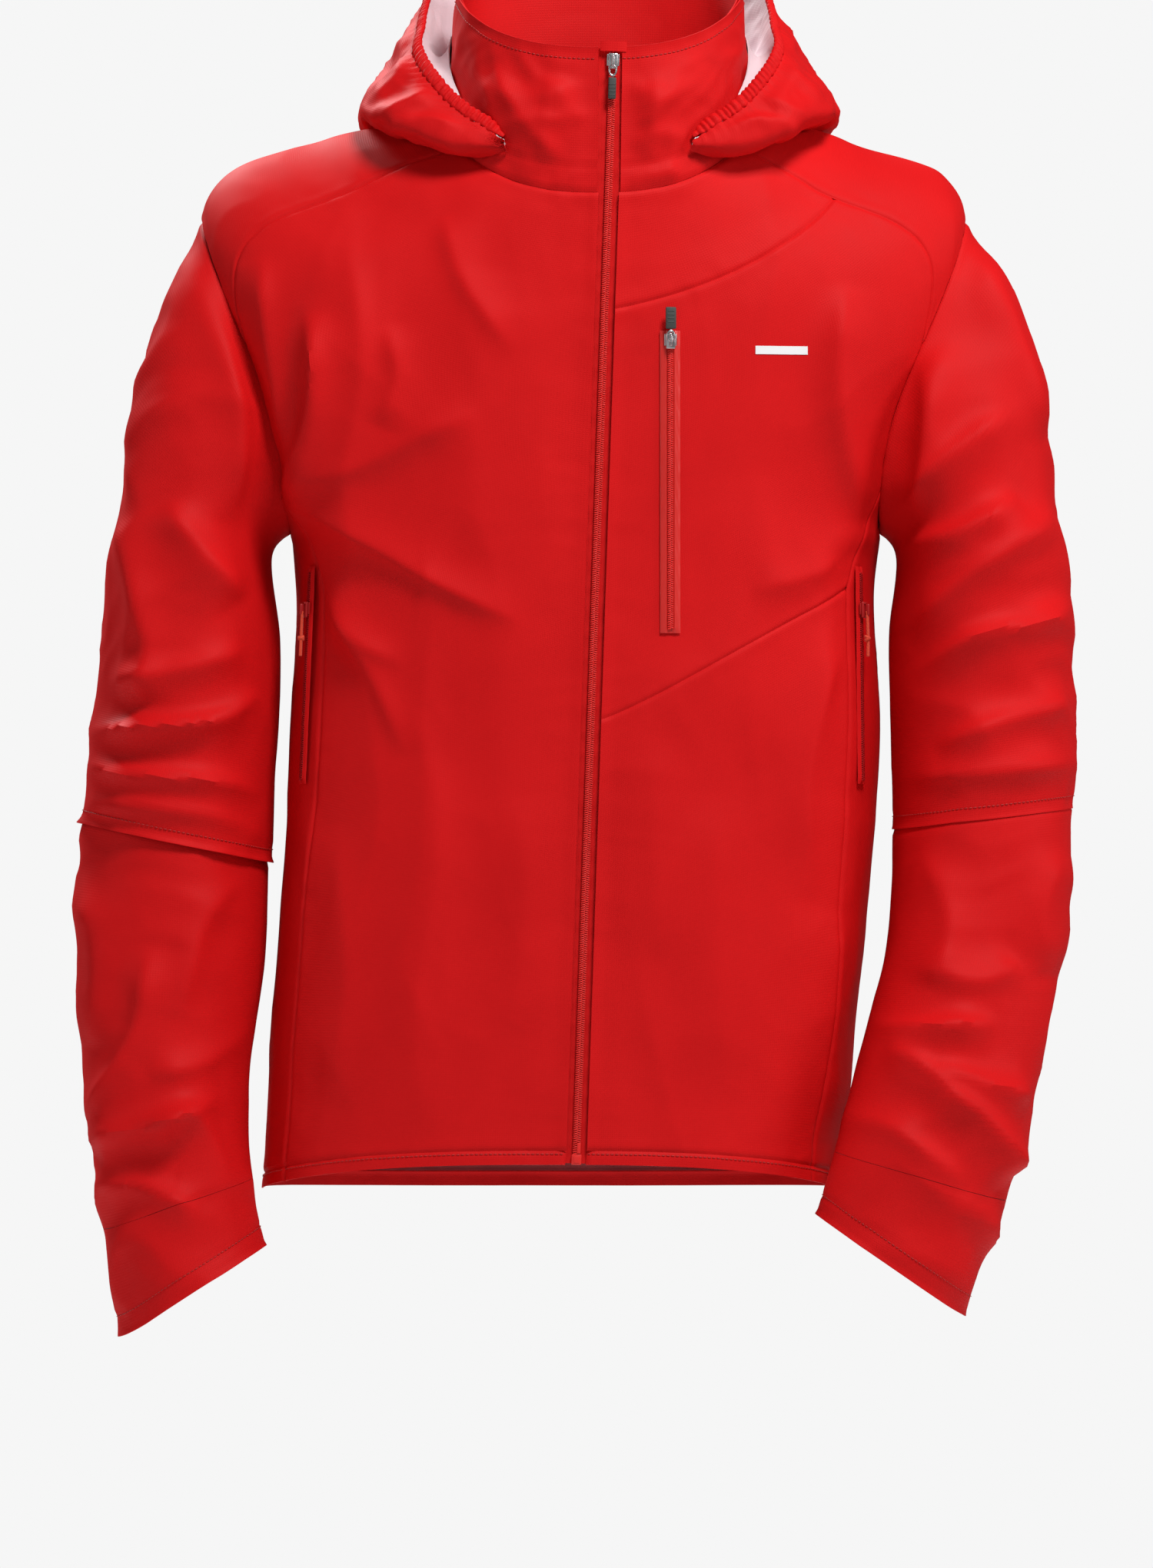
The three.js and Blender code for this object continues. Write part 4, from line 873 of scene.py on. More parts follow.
def cut_side(side, name):
    """Cuts a side panel and a yoke, and gives the seams between which the front of that side is cut."""
    yoke = yoke_seam(side, NECK_ANGLE, YOKE_STEP, -6)
    back = yoke_seam(side, BACK_NECK_ANGLE, -YOKE_STEP, 3)
    seam = side_seam(side, FRONT_SIDE, SIDE_STEP)
    rear = side_seam(side, BACK_SIDE, ARMHOLE["steps"] - SIDE_STEP)
    under = armhole(side, np.linspace(SIDE_STEP, ARMHOLE["steps"] - SIDE_STEP, 60))
    body_panel(name + "_side_panel", line(seam[-1], rear[-1]), under, seam[::-1], rear[::-1])
    body_panel(name + "_shoulder_yoke", line((side * NECK_ANGLE, 0), (side * BACK_NECK_ANGLE, 0)),
               armhole(side, np.linspace(YOKE_STEP, -YOKE_STEP, 60)), yoke, back)
    hem = line(front_edge(side, BAND_LEVEL), seam[-1])
    neck_run = line(front_edge(side, 0.0), (side * NECK_ANGLE, 0))
    cap = armhole(side, np.linspace(SIDE_STEP, YOKE_STEP, 60))
    return hem, neck_run, seam, cap, yoke


def slanting_seam(height, end, bow):
    """A seam from the zip, at a height, to a place on another seam."""
    seam = line(front_edge(1, float(level_at(3.0, height))), end)
    seam[:, 1] -= bow * np.sin(np.linspace(0, np.pi, len(seam)))
    return seam


def cut_left_front(hem, neck_run, seam, cap, yoke):
    middle = len(yoke) // 2
    upper = slanting_seam(UPPER_START, yoke[middle], UPPER_BOW)
    lower = slanting_seam(LOWER_START, seam[CHEST_POINT], LOWER_BOW)
    body_panel("left_upper_panel", front_run(1, 0, upper[0, 1]), yoke[: middle + 1], neck_run, upper,
               (False, True, True, True), (BOTTOM, TURNED_EDGE))
    body_panel("left_chest_panel", lower, upper, front_run(1, lower[0, 1], upper[0, 1]),
               chain(seam[CHEST_POINT::-1], cap, yoke[: middle - 1 : -1]), *BESIDE_ZIP)
    body_panel("left_lower_panel", hem, lower, front_run(1, BAND_LEVEL, lower[0, 1]),
               seam[: CHEST_POINT - 1 : -1], *BESIDE_ZIP)


hem, neck_run, seam, cap, yoke = cut_side(-1, "right")
body_panel("right_front_panel", hem, neck_run, front_run(-1, BAND_LEVEL, 0),
           chain(seam[::-1], cap, yoke[::-1]), *BESIDE_ZIP)
cut_left_front(*cut_side(1, "left"))

# %% [markdown]
# The back is a yoke across the shoulders and one plain panel below it. Angles run on past 180 degrees to the
# right side, so each seam of the right is turned by a full circle.

# %% Cut the back
def back_yoke_seam(side, turn):
    return yoke_seam(side, BACK_NECK_ANGLE, -YOKE_STEP, 3) + np.array([turn, 0])


def back_edge(side, turn):
    seam = side_seam(side, BACK_SIDE, ARMHOLE["steps"] - SIDE_STEP)[::-1]
    cap = armhole(side, np.linspace(-SIDE_STEP, -YOKE_STEP, 40))
    return chain(seam, cap) + np.array([turn, 0])


yokes, edges = ([seam_of(1, 0), seam_of(-1, 360)] for seam_of in (back_yoke_seam, back_edge))
across_back = line(yokes[0][-1], yokes[1][-1])
body_panel("back_yoke", across_back, line(yokes[0][0], yokes[1][0]), yokes[0][::-1], yokes[1][::-1])
body_panel("back_panel", line(edges[0][0], edges[1][0]), across_back, *edges)

# %% [markdown]
# The hem is a turned band: the cloth is folded up inside and stitched through, so it lies flatter and
# firmer than the panels above it.

# %% Hem band
HEM_SIDE = FRONT_SIDE[2]
HEM_BANDS = {
    "right_hem_band": (-HEM_SIDE, float(front_edge(-1, BAND_LEVEL)[0])),
    "left_hem_band": (float(front_edge(1, BAND_LEVEL)[0]), HEM_SIDE),
    "back_hem_band": (HEM_SIDE, 360 - HEM_SIDE),
}
for name, ends in HEM_BANDS.items():
    runs = [line((ends[0], level), (ends[1], level)) for level in (HEM_LEVEL, BAND_LEVEL)]
    sides = [line((end, HEM_LEVEL), (end, BAND_LEVEL)) for end in ends]
    body_panel(name, *runs, *sides, (False, True, True, True), (BOTTOM, 0.9 * MM), shell_nylon)
print("body panels:", len(BODY_GRIDS))

# %% [markdown]
# ## Sleeves
# A sleeve is a tube from the armhole to the cuff. Its rings are given as they are seen from the front, by an
# outer and an inner edge, with a middle and a depth. The two arms hang differently, so each has its own
# rings and its own folds: the elbow of the right sleeve rolls over its seam, the left one creases in rays.

# %% Sleeve rings and folds
CHEST_SIDE = 204
SLEEVES = {
    "right": {
        "side": -1,
        "rings": [((95, -170), (13, -318), -68, 66), ((117, -300), (8, -372), -68, 74),
                  ((132, -400), (8, -430), -70, 74), ((143, -500), (15, -528), -74, 70),
                  ((144, -590), (18, -600), -84, 66), ((139, -680), (28, -680), -98, 60),
                  ((128, -783), (25, -748), -116, 54), ((113, -856), (16, -794), -128, 50)],
        "folds": {
            FRONT: [
                ([(-257, -96), (-248, -150), (-238, -235), (-245, -300)], 9, 12, 20),
                ([(-300, -150), (-306, -230), (-300, -330), (-292, -400)], 5, 24, 12),
                ([(-318, -270), (-296, -372), (-302, -425)], 6.5, 10, 20),
                ([(-285, -280), (-262, -318), (-236, -352)], 7, 12, 18),
                ([(-232, -380), (-270, -395), (-330, -410)], 5, 16, 10),
                ([(-222, -410), (-262, -432), (-345, -440)], 9, 16, 7),
                ([(-349, -462), (-300, -470), (-250, -474), (-222, -486)], 7, 8, 12),
                ([(-350, -488), (-300, -492), (-250, -500), (-215, -520)], 4, 9, 9),
                ([(-233, -540), (-262, -570), (-280, -640)], 5, 10, 18),
                ([(-345, -530), (-330, -600), (-336, -660)], 5, 14, 20),
                ([(-297, -585), (-306, -650), (-344, -712)], 6.5, 18, 9),
                ([(-342, -722), (-296, -712), (-246, -690)], 7.5, 14, 8),
                ([(-226, -640), (-262, -668), (-300, -676)], 4.5, 10, 14),
                ([(-298, -722), (-266, -708), (-232, -770)], 6, 9, 15),
                ([(-338, -752), (-300, -752), (-262, -772)], 4.5, 8, 12),
            ],
            BACK: [
                ([(-235, -300), (-285, -340), (-330, -350)], 8, 14, 22),
                ([(-225, -420), (-280, -440), (-340, -430)], 8, 18, 10),
                ([(-345, -470), (-290, -478), (-225, -500)], 6, 9, 14),
                ([(-340, -560), (-290, -600), (-240, -610)], 6, 12, 20),
                ([(-335, -690), (-290, -700), (-240, -720)], 7, 16, 9),
            ],
        },
    },
    "left": {
        "side": 1,
        "rings": [((101, -170), (14, -318), -68, 66), ((128, -300), (9, -372), -68, 74),
                  ((134, -395), (9, -425), -72, 74), ((136, -490), (11, -505), -82, 70),
                  ((126, -585), (6, -585), -102, 64), ((110, -665), (-12, -655), -128, 58),
                  ((88, -762), (-32, -728), -150, 52), ((54, -839), (-44, -771), -158, 48)],
        "folds": {
            FRONT: [
                ([(262, -94), (292, -165), (316, -240)], 7, 18, 11),
                ([(228, -170), (240, -225), (232, -300)], 8, 20, 11),
                ([(212, -292), (250, -256), (300, -212)], 7, 10, 20),
                ([(214, -312), (258, -304), (300, -276)], 8.5, 9, 22),
                ([(221, -376), (275, -326), (330, -282)], 6.5, 10, 20),
                ([(224, -404), (275, -373), (306, -366), (338, -346)], 8.5, 9, 20),
                ([(240, -452), (290, -432), (336, -418)], 6.5, 10, 18),
                ([(222, -470), (270, -470), (338, -462)], 4, 12, 9),
                ([(330, -520), (312, -560), (318, -610)], 5, 20, 12),
                ([(232, -520), (252, -570), (240, -620)], 5.5, 12, 20),
                ([(192, -640), (232, -644), (284, -640)], 8.5, 9, 18),
                ([(206, -656), (236, -672), (262, -706)], 6.5, 8, 15),
                ([(238, -668), (276, -682), (306, -688)], 6.5, 9, 14),
                ([(248, -684), (280, -716), (300, -745)], 8, 9, 16),
                ([(172, -700), (212, -712), (262, -752)], 5, 9, 14),
                ([(300, -596), (270, -612), (216, -600)], 4.5, 12, 16),
            ],
            BACK: [
                ([(230, -300), (285, -330), (335, -330)], 8, 22, 14),
                ([(222, -400), (280, -430), (340, -400)], 8, 10, 18),
                ([(225, -480), (280, -490), (335, -470)], 6, 9, 14),
                ([(215, -590), (260, -600), (320, -570)], 6, 12, 20),
                ([(190, -680), (240, -690), (295, -670)], 7, 16, 9),
            ],
        },
    },
}
ELBOW, CUFF, MOUTH = 4.0, 7.0, 8.0  # ring numbers, the armhole being 0
SLEEVE_FOLD_GAIN = 1.75
SLEEVE_CREASES = [(96 * MM, 7.5 * MM, 41), (46 * MM, 2.0 * MM, 53), (24 * MM, 0.5 * MM, 67)]


def sleeve_rings(name, turn):
    """The rings of a sleeve at turns round it, in degrees, from its outer edge towards its front."""
    side, c, s = SLEEVES[name]["side"], np.cos(np.radians(turn)), np.sin(np.radians(turn))
    rings = [body_point(*np.moveaxis(armhole(side, turn / 15), -1, 0))]
    for outer, inner, y, half_depth in SLEEVES[name]["rings"]:
        t = (1 + c) / 2
        x = side * (CHEST_SIDE + inner[0] + (outer[0] - inner[0]) * t)
        rings.append(np.stack([x, y - half_depth * s, inner[1] + (outer[1] - inner[1]) * t], -1) * MM)
    return np.array(rings)


def sleeve_cloth(name, turn, t):
    """The sleeve's cloth on a grid of turns and ring numbers, with its folds, and the way it faces."""
    rings = sleeve_rings(name, turn)
    p = np.stack([along(rings, np.array(v)) for v in t], 1)
    n = normals_of(p, closed=True)
    if ((p - p.mean(0, keepdims=True)) * n).sum() < 0:
        n = -n
    inner = smooth((-np.cos(np.radians(turn)) - 0.1) / 0.9)[:, None]
    room = 1 - 0.8 * inner  # the side next to the body is pressed flat
    start = smooth(np.asarray(t) / 0.8)[None, :]
    sewn = 0.1 + 0.9 * smooth((np.asarray(t) - 0.05) / 0.45)[None, :]
    out = SLEEVE_FOLD_GAIN * fold_relief(p, n, SLEEVES[name]["folds"]) * room * sewn
    stretched = p * np.array([0.8, 1, 1.15])
    for size, height, seed in SLEEVE_CREASES:
        out += height * creases(stretched, size, seed + SLEEVES[name]["side"]) * room * (0.2 + 0.8 * start)
    return p + n * out[..., None], n


print("sleeves:", {k: sum(map(len, v["folds"].values())) for k, v in SLEEVES.items()}, "folds laid")

# %% [markdown]
# Each sleeve is three tubes. The upper one ends in a stitched hem at the elbow, and the lower one starts
# inside it. The cuff is a turned band. Cloth that crosses a joint, and the stitches on it, are given the two
# bodies between which they would bend, but are only baked in place.

# %% Sleeve tubes
COLUMNS = 118


def sleeve_tube(piece_name, name, start, end, profile, body):
    """A tube of the sleeve between two ring numbers; profile gives its relief by distances to its ends."""
    turn = np.arange(COLUMNS) * 360 / COLUMNS
    fine = np.linspace(start, end, 300)
    place = distances(np.stack([along(sleeve_rings(name, turn), np.array(v)) for v in fine], 1).mean(0))
    t = np.interp(spread_shares(place[-1]) * place[-1], place, fine)
    grid, n = sleeve_cloth(name, turn, t)
    up = lengths(grid, 1)
    grid = grid + n * profile(up, up[:, -1:] - up, grid)[..., None]
    grid, n = outward(grid, n, n, closed=True)
    piece = cloth_object(piece_name, grid, [shell_nylon, backing_tricot], closed=True)
    hand_over(piece, body, "shell_fabric", piece_name)
    declare_sheet(piece, grid, closed=True)
    return grid, n, up


def ridge(distance, height, width):
    """A rounded ridge, or with a negative height a groove; all in millimetres but the distance."""
    return height * np.exp(-((distance / (width * MM)) ** 2))


def rolled_hem(from_top, from_hem, p):
    """A hem that rolls over the lower sleeve."""
    turned = ridge(from_hem, 1.6, 3) + ridge(from_hem - 9 * MM, -0.9, 1.5)
    wavy = 0.9 * MM * gradient_noise(p / (13 * MM), 71) * np.exp(-from_hem / (16 * MM))
    return seam_relief(from_top, p) + (turned + 2.4) * MM * smooth(1 - from_hem / (60 * MM)) + wavy


def flat_hem(from_top, from_hem, p):
    """A hem that lies flat on the lower sleeve, with a fold of cloth under its stitches."""
    turned = ridge(from_hem, 0.5, 2) + ridge(from_hem - 9 * MM, -0.8, 1.5)
    return seam_relief(from_top, p) + turned * MM * smooth(1 - from_hem / (30 * MM))


def tucked(from_top, from_cuff, p):
    """The start of the lower sleeve, drawn in so that it lies inside the upper one."""
    return -1.5 * MM * smooth(1 - (from_top - 12 * MM) / (4 * MM))


def cuff_band(from_top, from_mouth, p):
    return (ridge(from_mouth, 1.1, 2.5) + ridge(from_mouth - 14 * MM, -0.8, 1.4)) * MM


print("sleeve tubes of", COLUMNS, "columns")

# %% [markdown]
# The points given for the shoulder run from the middle of the armhole outwards, square to it. Those for the
# elbow run down the lower sleeve, from just below the upper one's hem to beyond the elbow's bend. No blend
# is made from them here.

# %% Sew the sleeves
ELBOW_HEMS = {"right": rolled_hem, "left": flat_hem}
SHOULDER_REACH = 60 * MM
ELBOW_FROM, ELBOW_TO = (-0.09, -0.535), (-0.10, -0.625)  # y and z, in metres


def sew_sleeve(name, side):
    root = sleeve_rings(name, np.arange(0, 360, 15.0))[0]
    centre, across = root.mean(0), root[0] - root[12]
    away = np.array([across[2], 0, -across[0]]) * side
    away /= np.linalg.norm(away)
    shoulder = ("torso", name + "_upper_arm", tuple(centre), tuple(centre + SHOULDER_REACH * away))
    upper = sleeve_tube(name + "_upper_sleeve", name, 0.012, ELBOW + 0.03, ELBOW_HEMS[name], shoulder)
    stitches_on(name + "_elbow_stitches", [row_below(*upper, 9 * MM, closed=True)], shoulder)
    x = joints[name + "_elbow_bend"]["pos_m"][0]
    elbow = (name + "_upper_arm", name + "_forearm", (x, *ELBOW_FROM), (x, *ELBOW_TO))
    sleeve_tube(name + "_lower_sleeve", name, ELBOW - 0.12, CUFF, tucked, elbow)
    cuff = sleeve_tube(name + "_cuff", name, CUFF + 0.005, MOUTH, cuff_band, name + "_forearm")
    stitches_on(name + "_cuff_stitches", [row_below(*cuff, 14 * MM, closed=True)], name + "_forearm")


for name, sleeve in SLEEVES.items():
    sew_sleeve(name, sleeve["side"])
print("sleeves sewn")

# %% [markdown]
# ## Collar
# The collar stands on the neck seam and leans in a little at the sides. A second seam runs round it above
# the neck seam, and a row of stitches holds its top edge. Inside lies a facing of the same red cloth.

# %% Collar
COLLAR_SEAM = 17 * MM  # above the neck seam
NECK_MIDDLE = np.array([10, -70, 0]) * MM
COLLAR_FOLDS = {
    FRONT: [
        ([(-60, -30), (-35, -20), (-8, -24)], 2.2, 8, 12),
        ([(-75, 8), (-40, -6), (0, 2)], 2.6, 12, 18),
        ([(34, -12), (60, -4), (88, 18)], 2.6, 14, 10),
        ([(30, -40), (52, -30), (72, -36)], 2.0, 8, 10),
        ([(-24, -52), (-26, -20), (-22, 12)], 1.8, 8, 14),
        ([(-62, 22), (-48, -8), (-30, -34), (-12, -50)], 2.6, 7, 12),
        ([(-20, 6), (-8, -14), (6, -22)], 1.8, 6, 9),
        ([(66, 12), (52, -12), (36, -26)], 2.4, 12, 7),
        ([(28, 10), (40, -2), (58, 4)], 1.8, 7, 9),
        ([(28, -66), (44, -58), (70, -56)], 2.0, 5, 8),
        ([(46, -50), (44, -25), (50, 5)], 1.8, 12, 8),
    ],
}


def collar_point(angle, t):
    """The collar at an angle and a share of its height; its sides lean in by up to nine millimetres."""
    low, top = body_point(angle, np.zeros(np.shape(angle))), on_ring(COLLAR_TOP, angle)
    t = np.asarray(t, float)[..., None]
    p = low * (1 - t) + top * t
    lean_in = 9 * MM * np.abs(np.sin(np.radians(angle)))[..., None] ** 3 * t
    p[..., :1] -= np.sign(p[..., :1] - NECK_MIDDLE[0]) * lean_in
    return p


def collar_angle(side, distance):
    x = zip_point(RINGS["z_front"][0])[0] + side * distance
    return float(angle_at(x, 0.0))


def collar_piece(name, gap, low, high, inset, relief_of):
    start, end = collar_angle(1, gap), collar_angle(-1, gap) + 360
    grid = collar_point(*np.broadcast_arrays(np.linspace(start, end, 210)[:, None],
                                             np.linspace(low, high, 34)[None, :]))
    n = normals_of(grid)
    if (n * (grid - NECK_MIDDLE)).sum() < 0:
        n = -n
    up, across = lengths(grid, 1), lengths(grid, 0)
    grid = grid + n * (relief_of(grid, n, up, across) - inset)[..., None]
    grid, n, up = outward(grid, n, n, up)
    piece = cloth_object(name, grid, [shell_nylon])
    hand_over(piece, "torso", "shell_fabric", name)
    declare_sheet(piece, grid)
    return grid, n, up


def collar_relief(p, n, up, across):
    top = up[:, -1:] - up
    edges = np.minimum(across, across[-1:] - across)
    seam = seam_relief(np.abs(up - COLLAR_SEAM), p) + seam_relief(up, p)
    turned = 1.0 * MM * (np.exp(-((top / (2.5 * MM)) ** 2)) + np.exp(-((edges / (3 * MM)) ** 2)))
    wrinkle = 3.2 * MM * creases(p, 44 * MM, 83) + 1.3 * MM * creases(p, 20 * MM, 89)
    away = smooth(up / (8 * MM)) * smooth(top / (14 * MM)) * smooth(edges / (25 * MM))
    return seam + turned + (wrinkle + 1.7 * fold_relief(p, n, COLLAR_FOLDS)) * (0.25 + 0.75 * away)


def facing_relief(p, n, up, across):
    return 0.8 * MM * creases(p, 40 * MM, 97)


shell = collar_piece("collar", ZIP_GAP / 2 + 1 * MM, 0, 1, 0, collar_relief)
stitches_on("collar_stitches", [row_below(*shell, 8 * MM)], "torso")
collar_piece("collar_lining", 24 * MM, 0.04, 0.97, 2.6 * MM, facing_relief)
print("collar sewn")

# %% [markdown]
# ## Hood, worn down
# The hood lies folded back round the collar. Its section changes all the way round: narrow and close at the
# front, a deep pouch behind. Each section goes from the neck seam, over the shoulder, out to a soft fold,
# and up to the rim. The pale lining starts on the collar, sags into the pouch and rises to the same rim.

# %% Hood sections
# Angle from the middle of the front; then five places as (out from the neck seam, height) in mm; then
# where the lining leaves the collar (height) and how far it sags.
HOOD_KEYS = [
    (31, [(3, -42), (4, -40), (6, -38), (6, -36), (5, -35)], -38, 0),
    (40, [(2, -45), (9, -42), (15, -37), (13, -29), (8, -24)], -30, 1),
    (50, [(1, -45), (17, -43), (27, -34), (22, -22), (14, -13)], -19, 2),
    (64, [(1, -34), (25, -34), (41, -22), (31, -5), (20, 7)], 2, 4),
    (80, [(1, -21), (32, -26), (55, -12), (38, 10), (23, 29)], 22, 8),
    (96, [(1, -15), (36, -22), (61, -8), (40, 22), (20, 50)], 44, 16),
    (120, [(1, -14), (48, -34), (76, -20), (56, 30), (30, 74)], 52, 34),
    (150, [(1, -14), (66, -82), (100, -60), (92, 10), (60, 88)], 56, 60),
    (180, [(1, -14), (70, -98), (112, -76), (108, 0), (74, 84)], 58, 72),
]
HOOD_FOLDS = {
    FRONT: [
        ([(-150, -6), (-130, 8), (-116, 34)], 5, 8, 5),
        ([(-150, -18), (-118, -10), (-96, 12)], 4.5, 9, 5),
        ([(-140, -26), (-110, -20), (-80, -26)], 4, 6, 8),
        ([(-134, 30), (-122, 44), (-116, 66)], 3.5, 6, 5),
        ([(166, -6), (144, 12), (130, 38)], 5, 5, 8),
        ([(160, -20), (130, -8), (112, 14)], 4.5, 5, 9),
        ([(152, -28), (122, -20), (94, -28)], 4, 8, 6),
        ([(146, 32), (136, 46), (130, 66)], 3.5, 5, 6),
    ],
    BACK: [
        ([(-90, -40), (-40, -20), (0, -30), (60, -20), (100, -44)], 9, 16, 9),
        ([(-110, 10), (-40, 24), (30, 14), (110, 26)], 7, 9, 18),
        ([(-30, -70), (-18, 0), (-34, 60)], 6, 20, 12),
        ([(60, -66), (48, 0), (66, 58)], 6, 12, 20),
    ],
}
RIM_DEPTH, RIM_THICK = 10 * MM, 4.2 * MM
HOOD_MIDDLE = np.array([10, -70, -20]) * MM


def hood_value(angle, pick):
    """A value of the hood's sections at angles all round, the same on both sides."""
    back = 180 - np.abs(180 - np.asarray(angle, float))
    place = np.interp(back, [k[0] for k in HOOD_KEYS], np.arange(len(HOOD_KEYS)))
    return along([pick(k) for k in HOOD_KEYS], place)


def away_from_neck(angle):
    ring = body_point(angle, np.zeros(np.shape(angle)))
    y_front, y_back = zip_point(RINGS["z_front"][0])[1], RINGS["y_back"][0]
    out = ring - np.array([RINGS["centre"][0], (y_front + y_back) / 2, 0])
    out[..., 2] = 0
    return ring, out / np.linalg.norm(out, axis=-1, keepdims=True)


def hood_point(angle, t):
    """The hood's shell at an angle, from the neck seam (0) to the rim (1)."""
    ring, away = away_from_neck(angle)
    outs, ups = (np.array([hood_value(angle, lambda k, i=i: k[1][i][way]) for i in range(5)])
                 for way in (0, 1))
    place = np.asarray(t) * 4
    i = np.clip(np.floor(place).astype(int), 0, 3)

    def at(values):
        knots = (np.take_along_axis(values, np.clip(i + k, 0, 4)[None], 0)[0] for k in (-1, 0, 1, 2))
        return catmull_rom(*knots, place - i) * MM

    p = ring + away * at(outs)[..., None]
    p[..., 2] = at(ups)
    return p


def lining_point(angle, t):
    """The hood's lining, from the collar (0) to the rim (1)."""
    ring, away = away_from_neck(angle)
    leaves = hood_value(angle, lambda k: k[2]) * MM
    sag = hood_value(angle, lambda k: k[3]) * MM
    top = on_ring(COLLAR_TOP, angle)
    share = np.clip((leaves - ring[..., 2]) / (top[..., 2] - ring[..., 2]), 0, 0.9)
    start = collar_point(angle, share) + away * 2.2 * MM
    end = hood_point(angle, np.ones(np.shape(angle))) - away * 1.2 * MM
    t = np.asarray(t)[..., None]
    p = start * (1 - t) + end * t
    p[..., 2] -= sag * np.sin(np.pi * t[..., 0] ** 0.8)
    return p


def hood_piece(name, point, start, end, seed, relief, materials, slot, inwards=False):
    """A piece of the hood between two angles, creased, and gathered where it meets the rim."""
    angle, t = np.broadcast_arrays(np.linspace(start, end, max(8, int((end - start) * 0.9)))[:, None],
                                   np.linspace(0, 1, 52)[None, :])
    grid = point(angle, t)
    n = normals_of(grid)
    if ((n * (grid - HOOD_MIDDLE)).sum() < 0) != inwards:
        n = -n
    across, up = lengths(grid, 0), lengths(grid, 1)
    ends, from_rim = np.minimum(across, across[-1:] - across), up[:, -1:] - up
    free = smooth(up / (12 * MM)) * smooth(from_rim / (16 * MM))
    size = hood_value(angle, lambda k: 0.35 + 0.65 * (k[0] > 60))
    out = relief * MM * (creases(grid, 44 * MM, seed) + 0.35 * creases(grid, 20 * MM, seed + 9)) * size
    if inwards:
        out = out * free
    else:
        out = (out + fold_relief(grid, n, HOOD_FOLDS)) * free + seam_relief(ends, grid)
    gather = 0.9 * MM * np.sin(across / (7 * MM) * 2 * np.pi + 2 * gradient_noise(grid / (15 * MM), seed))
    out = out + gather * np.exp(-from_rim / (9 * MM))
    (grid,) = outward(grid + n * out[..., None], n)
    piece = cloth_object(name, grid, materials)
    hand_over(piece, "torso", slot, name)
    declare_sheet(piece, grid)


HOOD_START, HOOD_SPLIT = 31, 150
for name, start, end in (("hood_left_panel", HOOD_START, HOOD_SPLIT),
                         ("hood_centre_panel", HOOD_SPLIT, 360 - HOOD_SPLIT),
                         ("hood_right_panel", 360 - HOOD_SPLIT, 360 - HOOD_START)):
    hood_piece(name, hood_point, start, end, 101, 7, [shell_nylon, hood_taffeta], "shell_fabric")
hood_piece("hood_lining", lining_point, HOOD_START + 1, 359 - HOOD_START, 131, 4.5, [hood_taffeta],
           "lining_fabric", inwards=True)
print("hood sewn")

# %% [markdown]
# The rim is a channel with elastic inside: the cloth gathers into small ribs all round, each a little
# different from the next. Its section is an oval that swells at each rib.

# %% Gathered rim
RIB = 4.6 * MM


def rim_band():
    angle = np.linspace(HOOD_START + 1.5, 358.5 - HOOD_START, 1500)
    rim = hood_point(angle, np.ones(len(angle)))
    up = rim - hood_point(angle, np.full(len(angle), 0.93))
    up /= np.linalg.norm(up, axis=1, keepdims=True)
    place = distances(rim)
    forward = np.gradient(rim, axis=0)
    forward /= np.linalg.norm(forward, axis=1, keepdims=True)
    aside = np.cross(forward, up)
    sides = 14
    turn = 2 * np.pi * np.arange(sides) / sides
    wander = gradient_noise(rim / (12 * MM), 151)
    swell = np.abs(np.sin(np.pi * place / RIB + 1.6 * wander))
    fade = smooth(place / (12 * MM)) * smooth((place[-1] - place) / (12 * MM))
    rings = []
    for k in turn:
        lean = 0.5 * np.sin(2 * np.pi * place / RIB / 2 + 3 * k + wander)
        wide = (RIM_THICK / 2 * (0.5 + 0.75 * swell) + 0.45 * MM * lean) * (0.35 + 0.65 * fade)
        high = (RIM_DEPTH / 2 * (0.86 + 0.18 * swell) + 0.4 * MM * lean) * (0.35 + 0.65 * fade)
        rings.append(rim + up * (4 * MM + high * np.sin(k))[:, None] + aside * (wide * np.cos(k))[:, None])
    n = len(angle)
    faces = [(k * n + i, (k + 1) % sides * n + i, (k + 1) % sides * n + i + 1, k * n + i + 1)
             for k in range(sides) for i in range(n - 1)]
    faces += [tuple(k * n for k in reversed(range(sides))), tuple(k * n + n - 1 for k in range(sides))]
    piece = mesh_piece("hood_rim_band", np.array(rings).reshape(-1, 3), faces, shell_nylon)
    corner = np.zeros(len(piece.data.loops), int)
    piece.data.loops.foreach_get("vertex_index", corner)
    uv = np.stack([np.tile(place, sides)[corner], np.repeat(turn * RIM_DEPTH / 2, n)[corner]], -1)
    piece.data.uv_layers.new(name="cloth").data.foreach_set("uv", uv.astype(np.float32).ravel())
    piece.select_set(True)
    bpy.context.view_layer.objects.active = piece
    bpy.ops.object.mode_set(mode="EDIT")
    bpy.ops.mesh.select_all(action="SELECT")
    bpy.ops.mesh.normals_make_consistent(inside=False)
    bpy.ops.object.mode_set(mode="OBJECT")
    piece.select_set(False)
    hand_over(piece, "torso", "shell_fabric", "hood_rim_band")


rim_band()

# %% [markdown]
# ## Zips
# The main zip is a nylon coil zip that parts at the bottom. Its two coils are rows of small teeth, each a
# bevelled block repeated along the zip, half a pitch apart, so the two rows mesh. The tapes are woven
# ribbons that run under the edges of the front.

# %% Hard parts in a zip's frame
COIL_PITCH = 1.5  # mm
HARD_EDGE = math.radians(45)


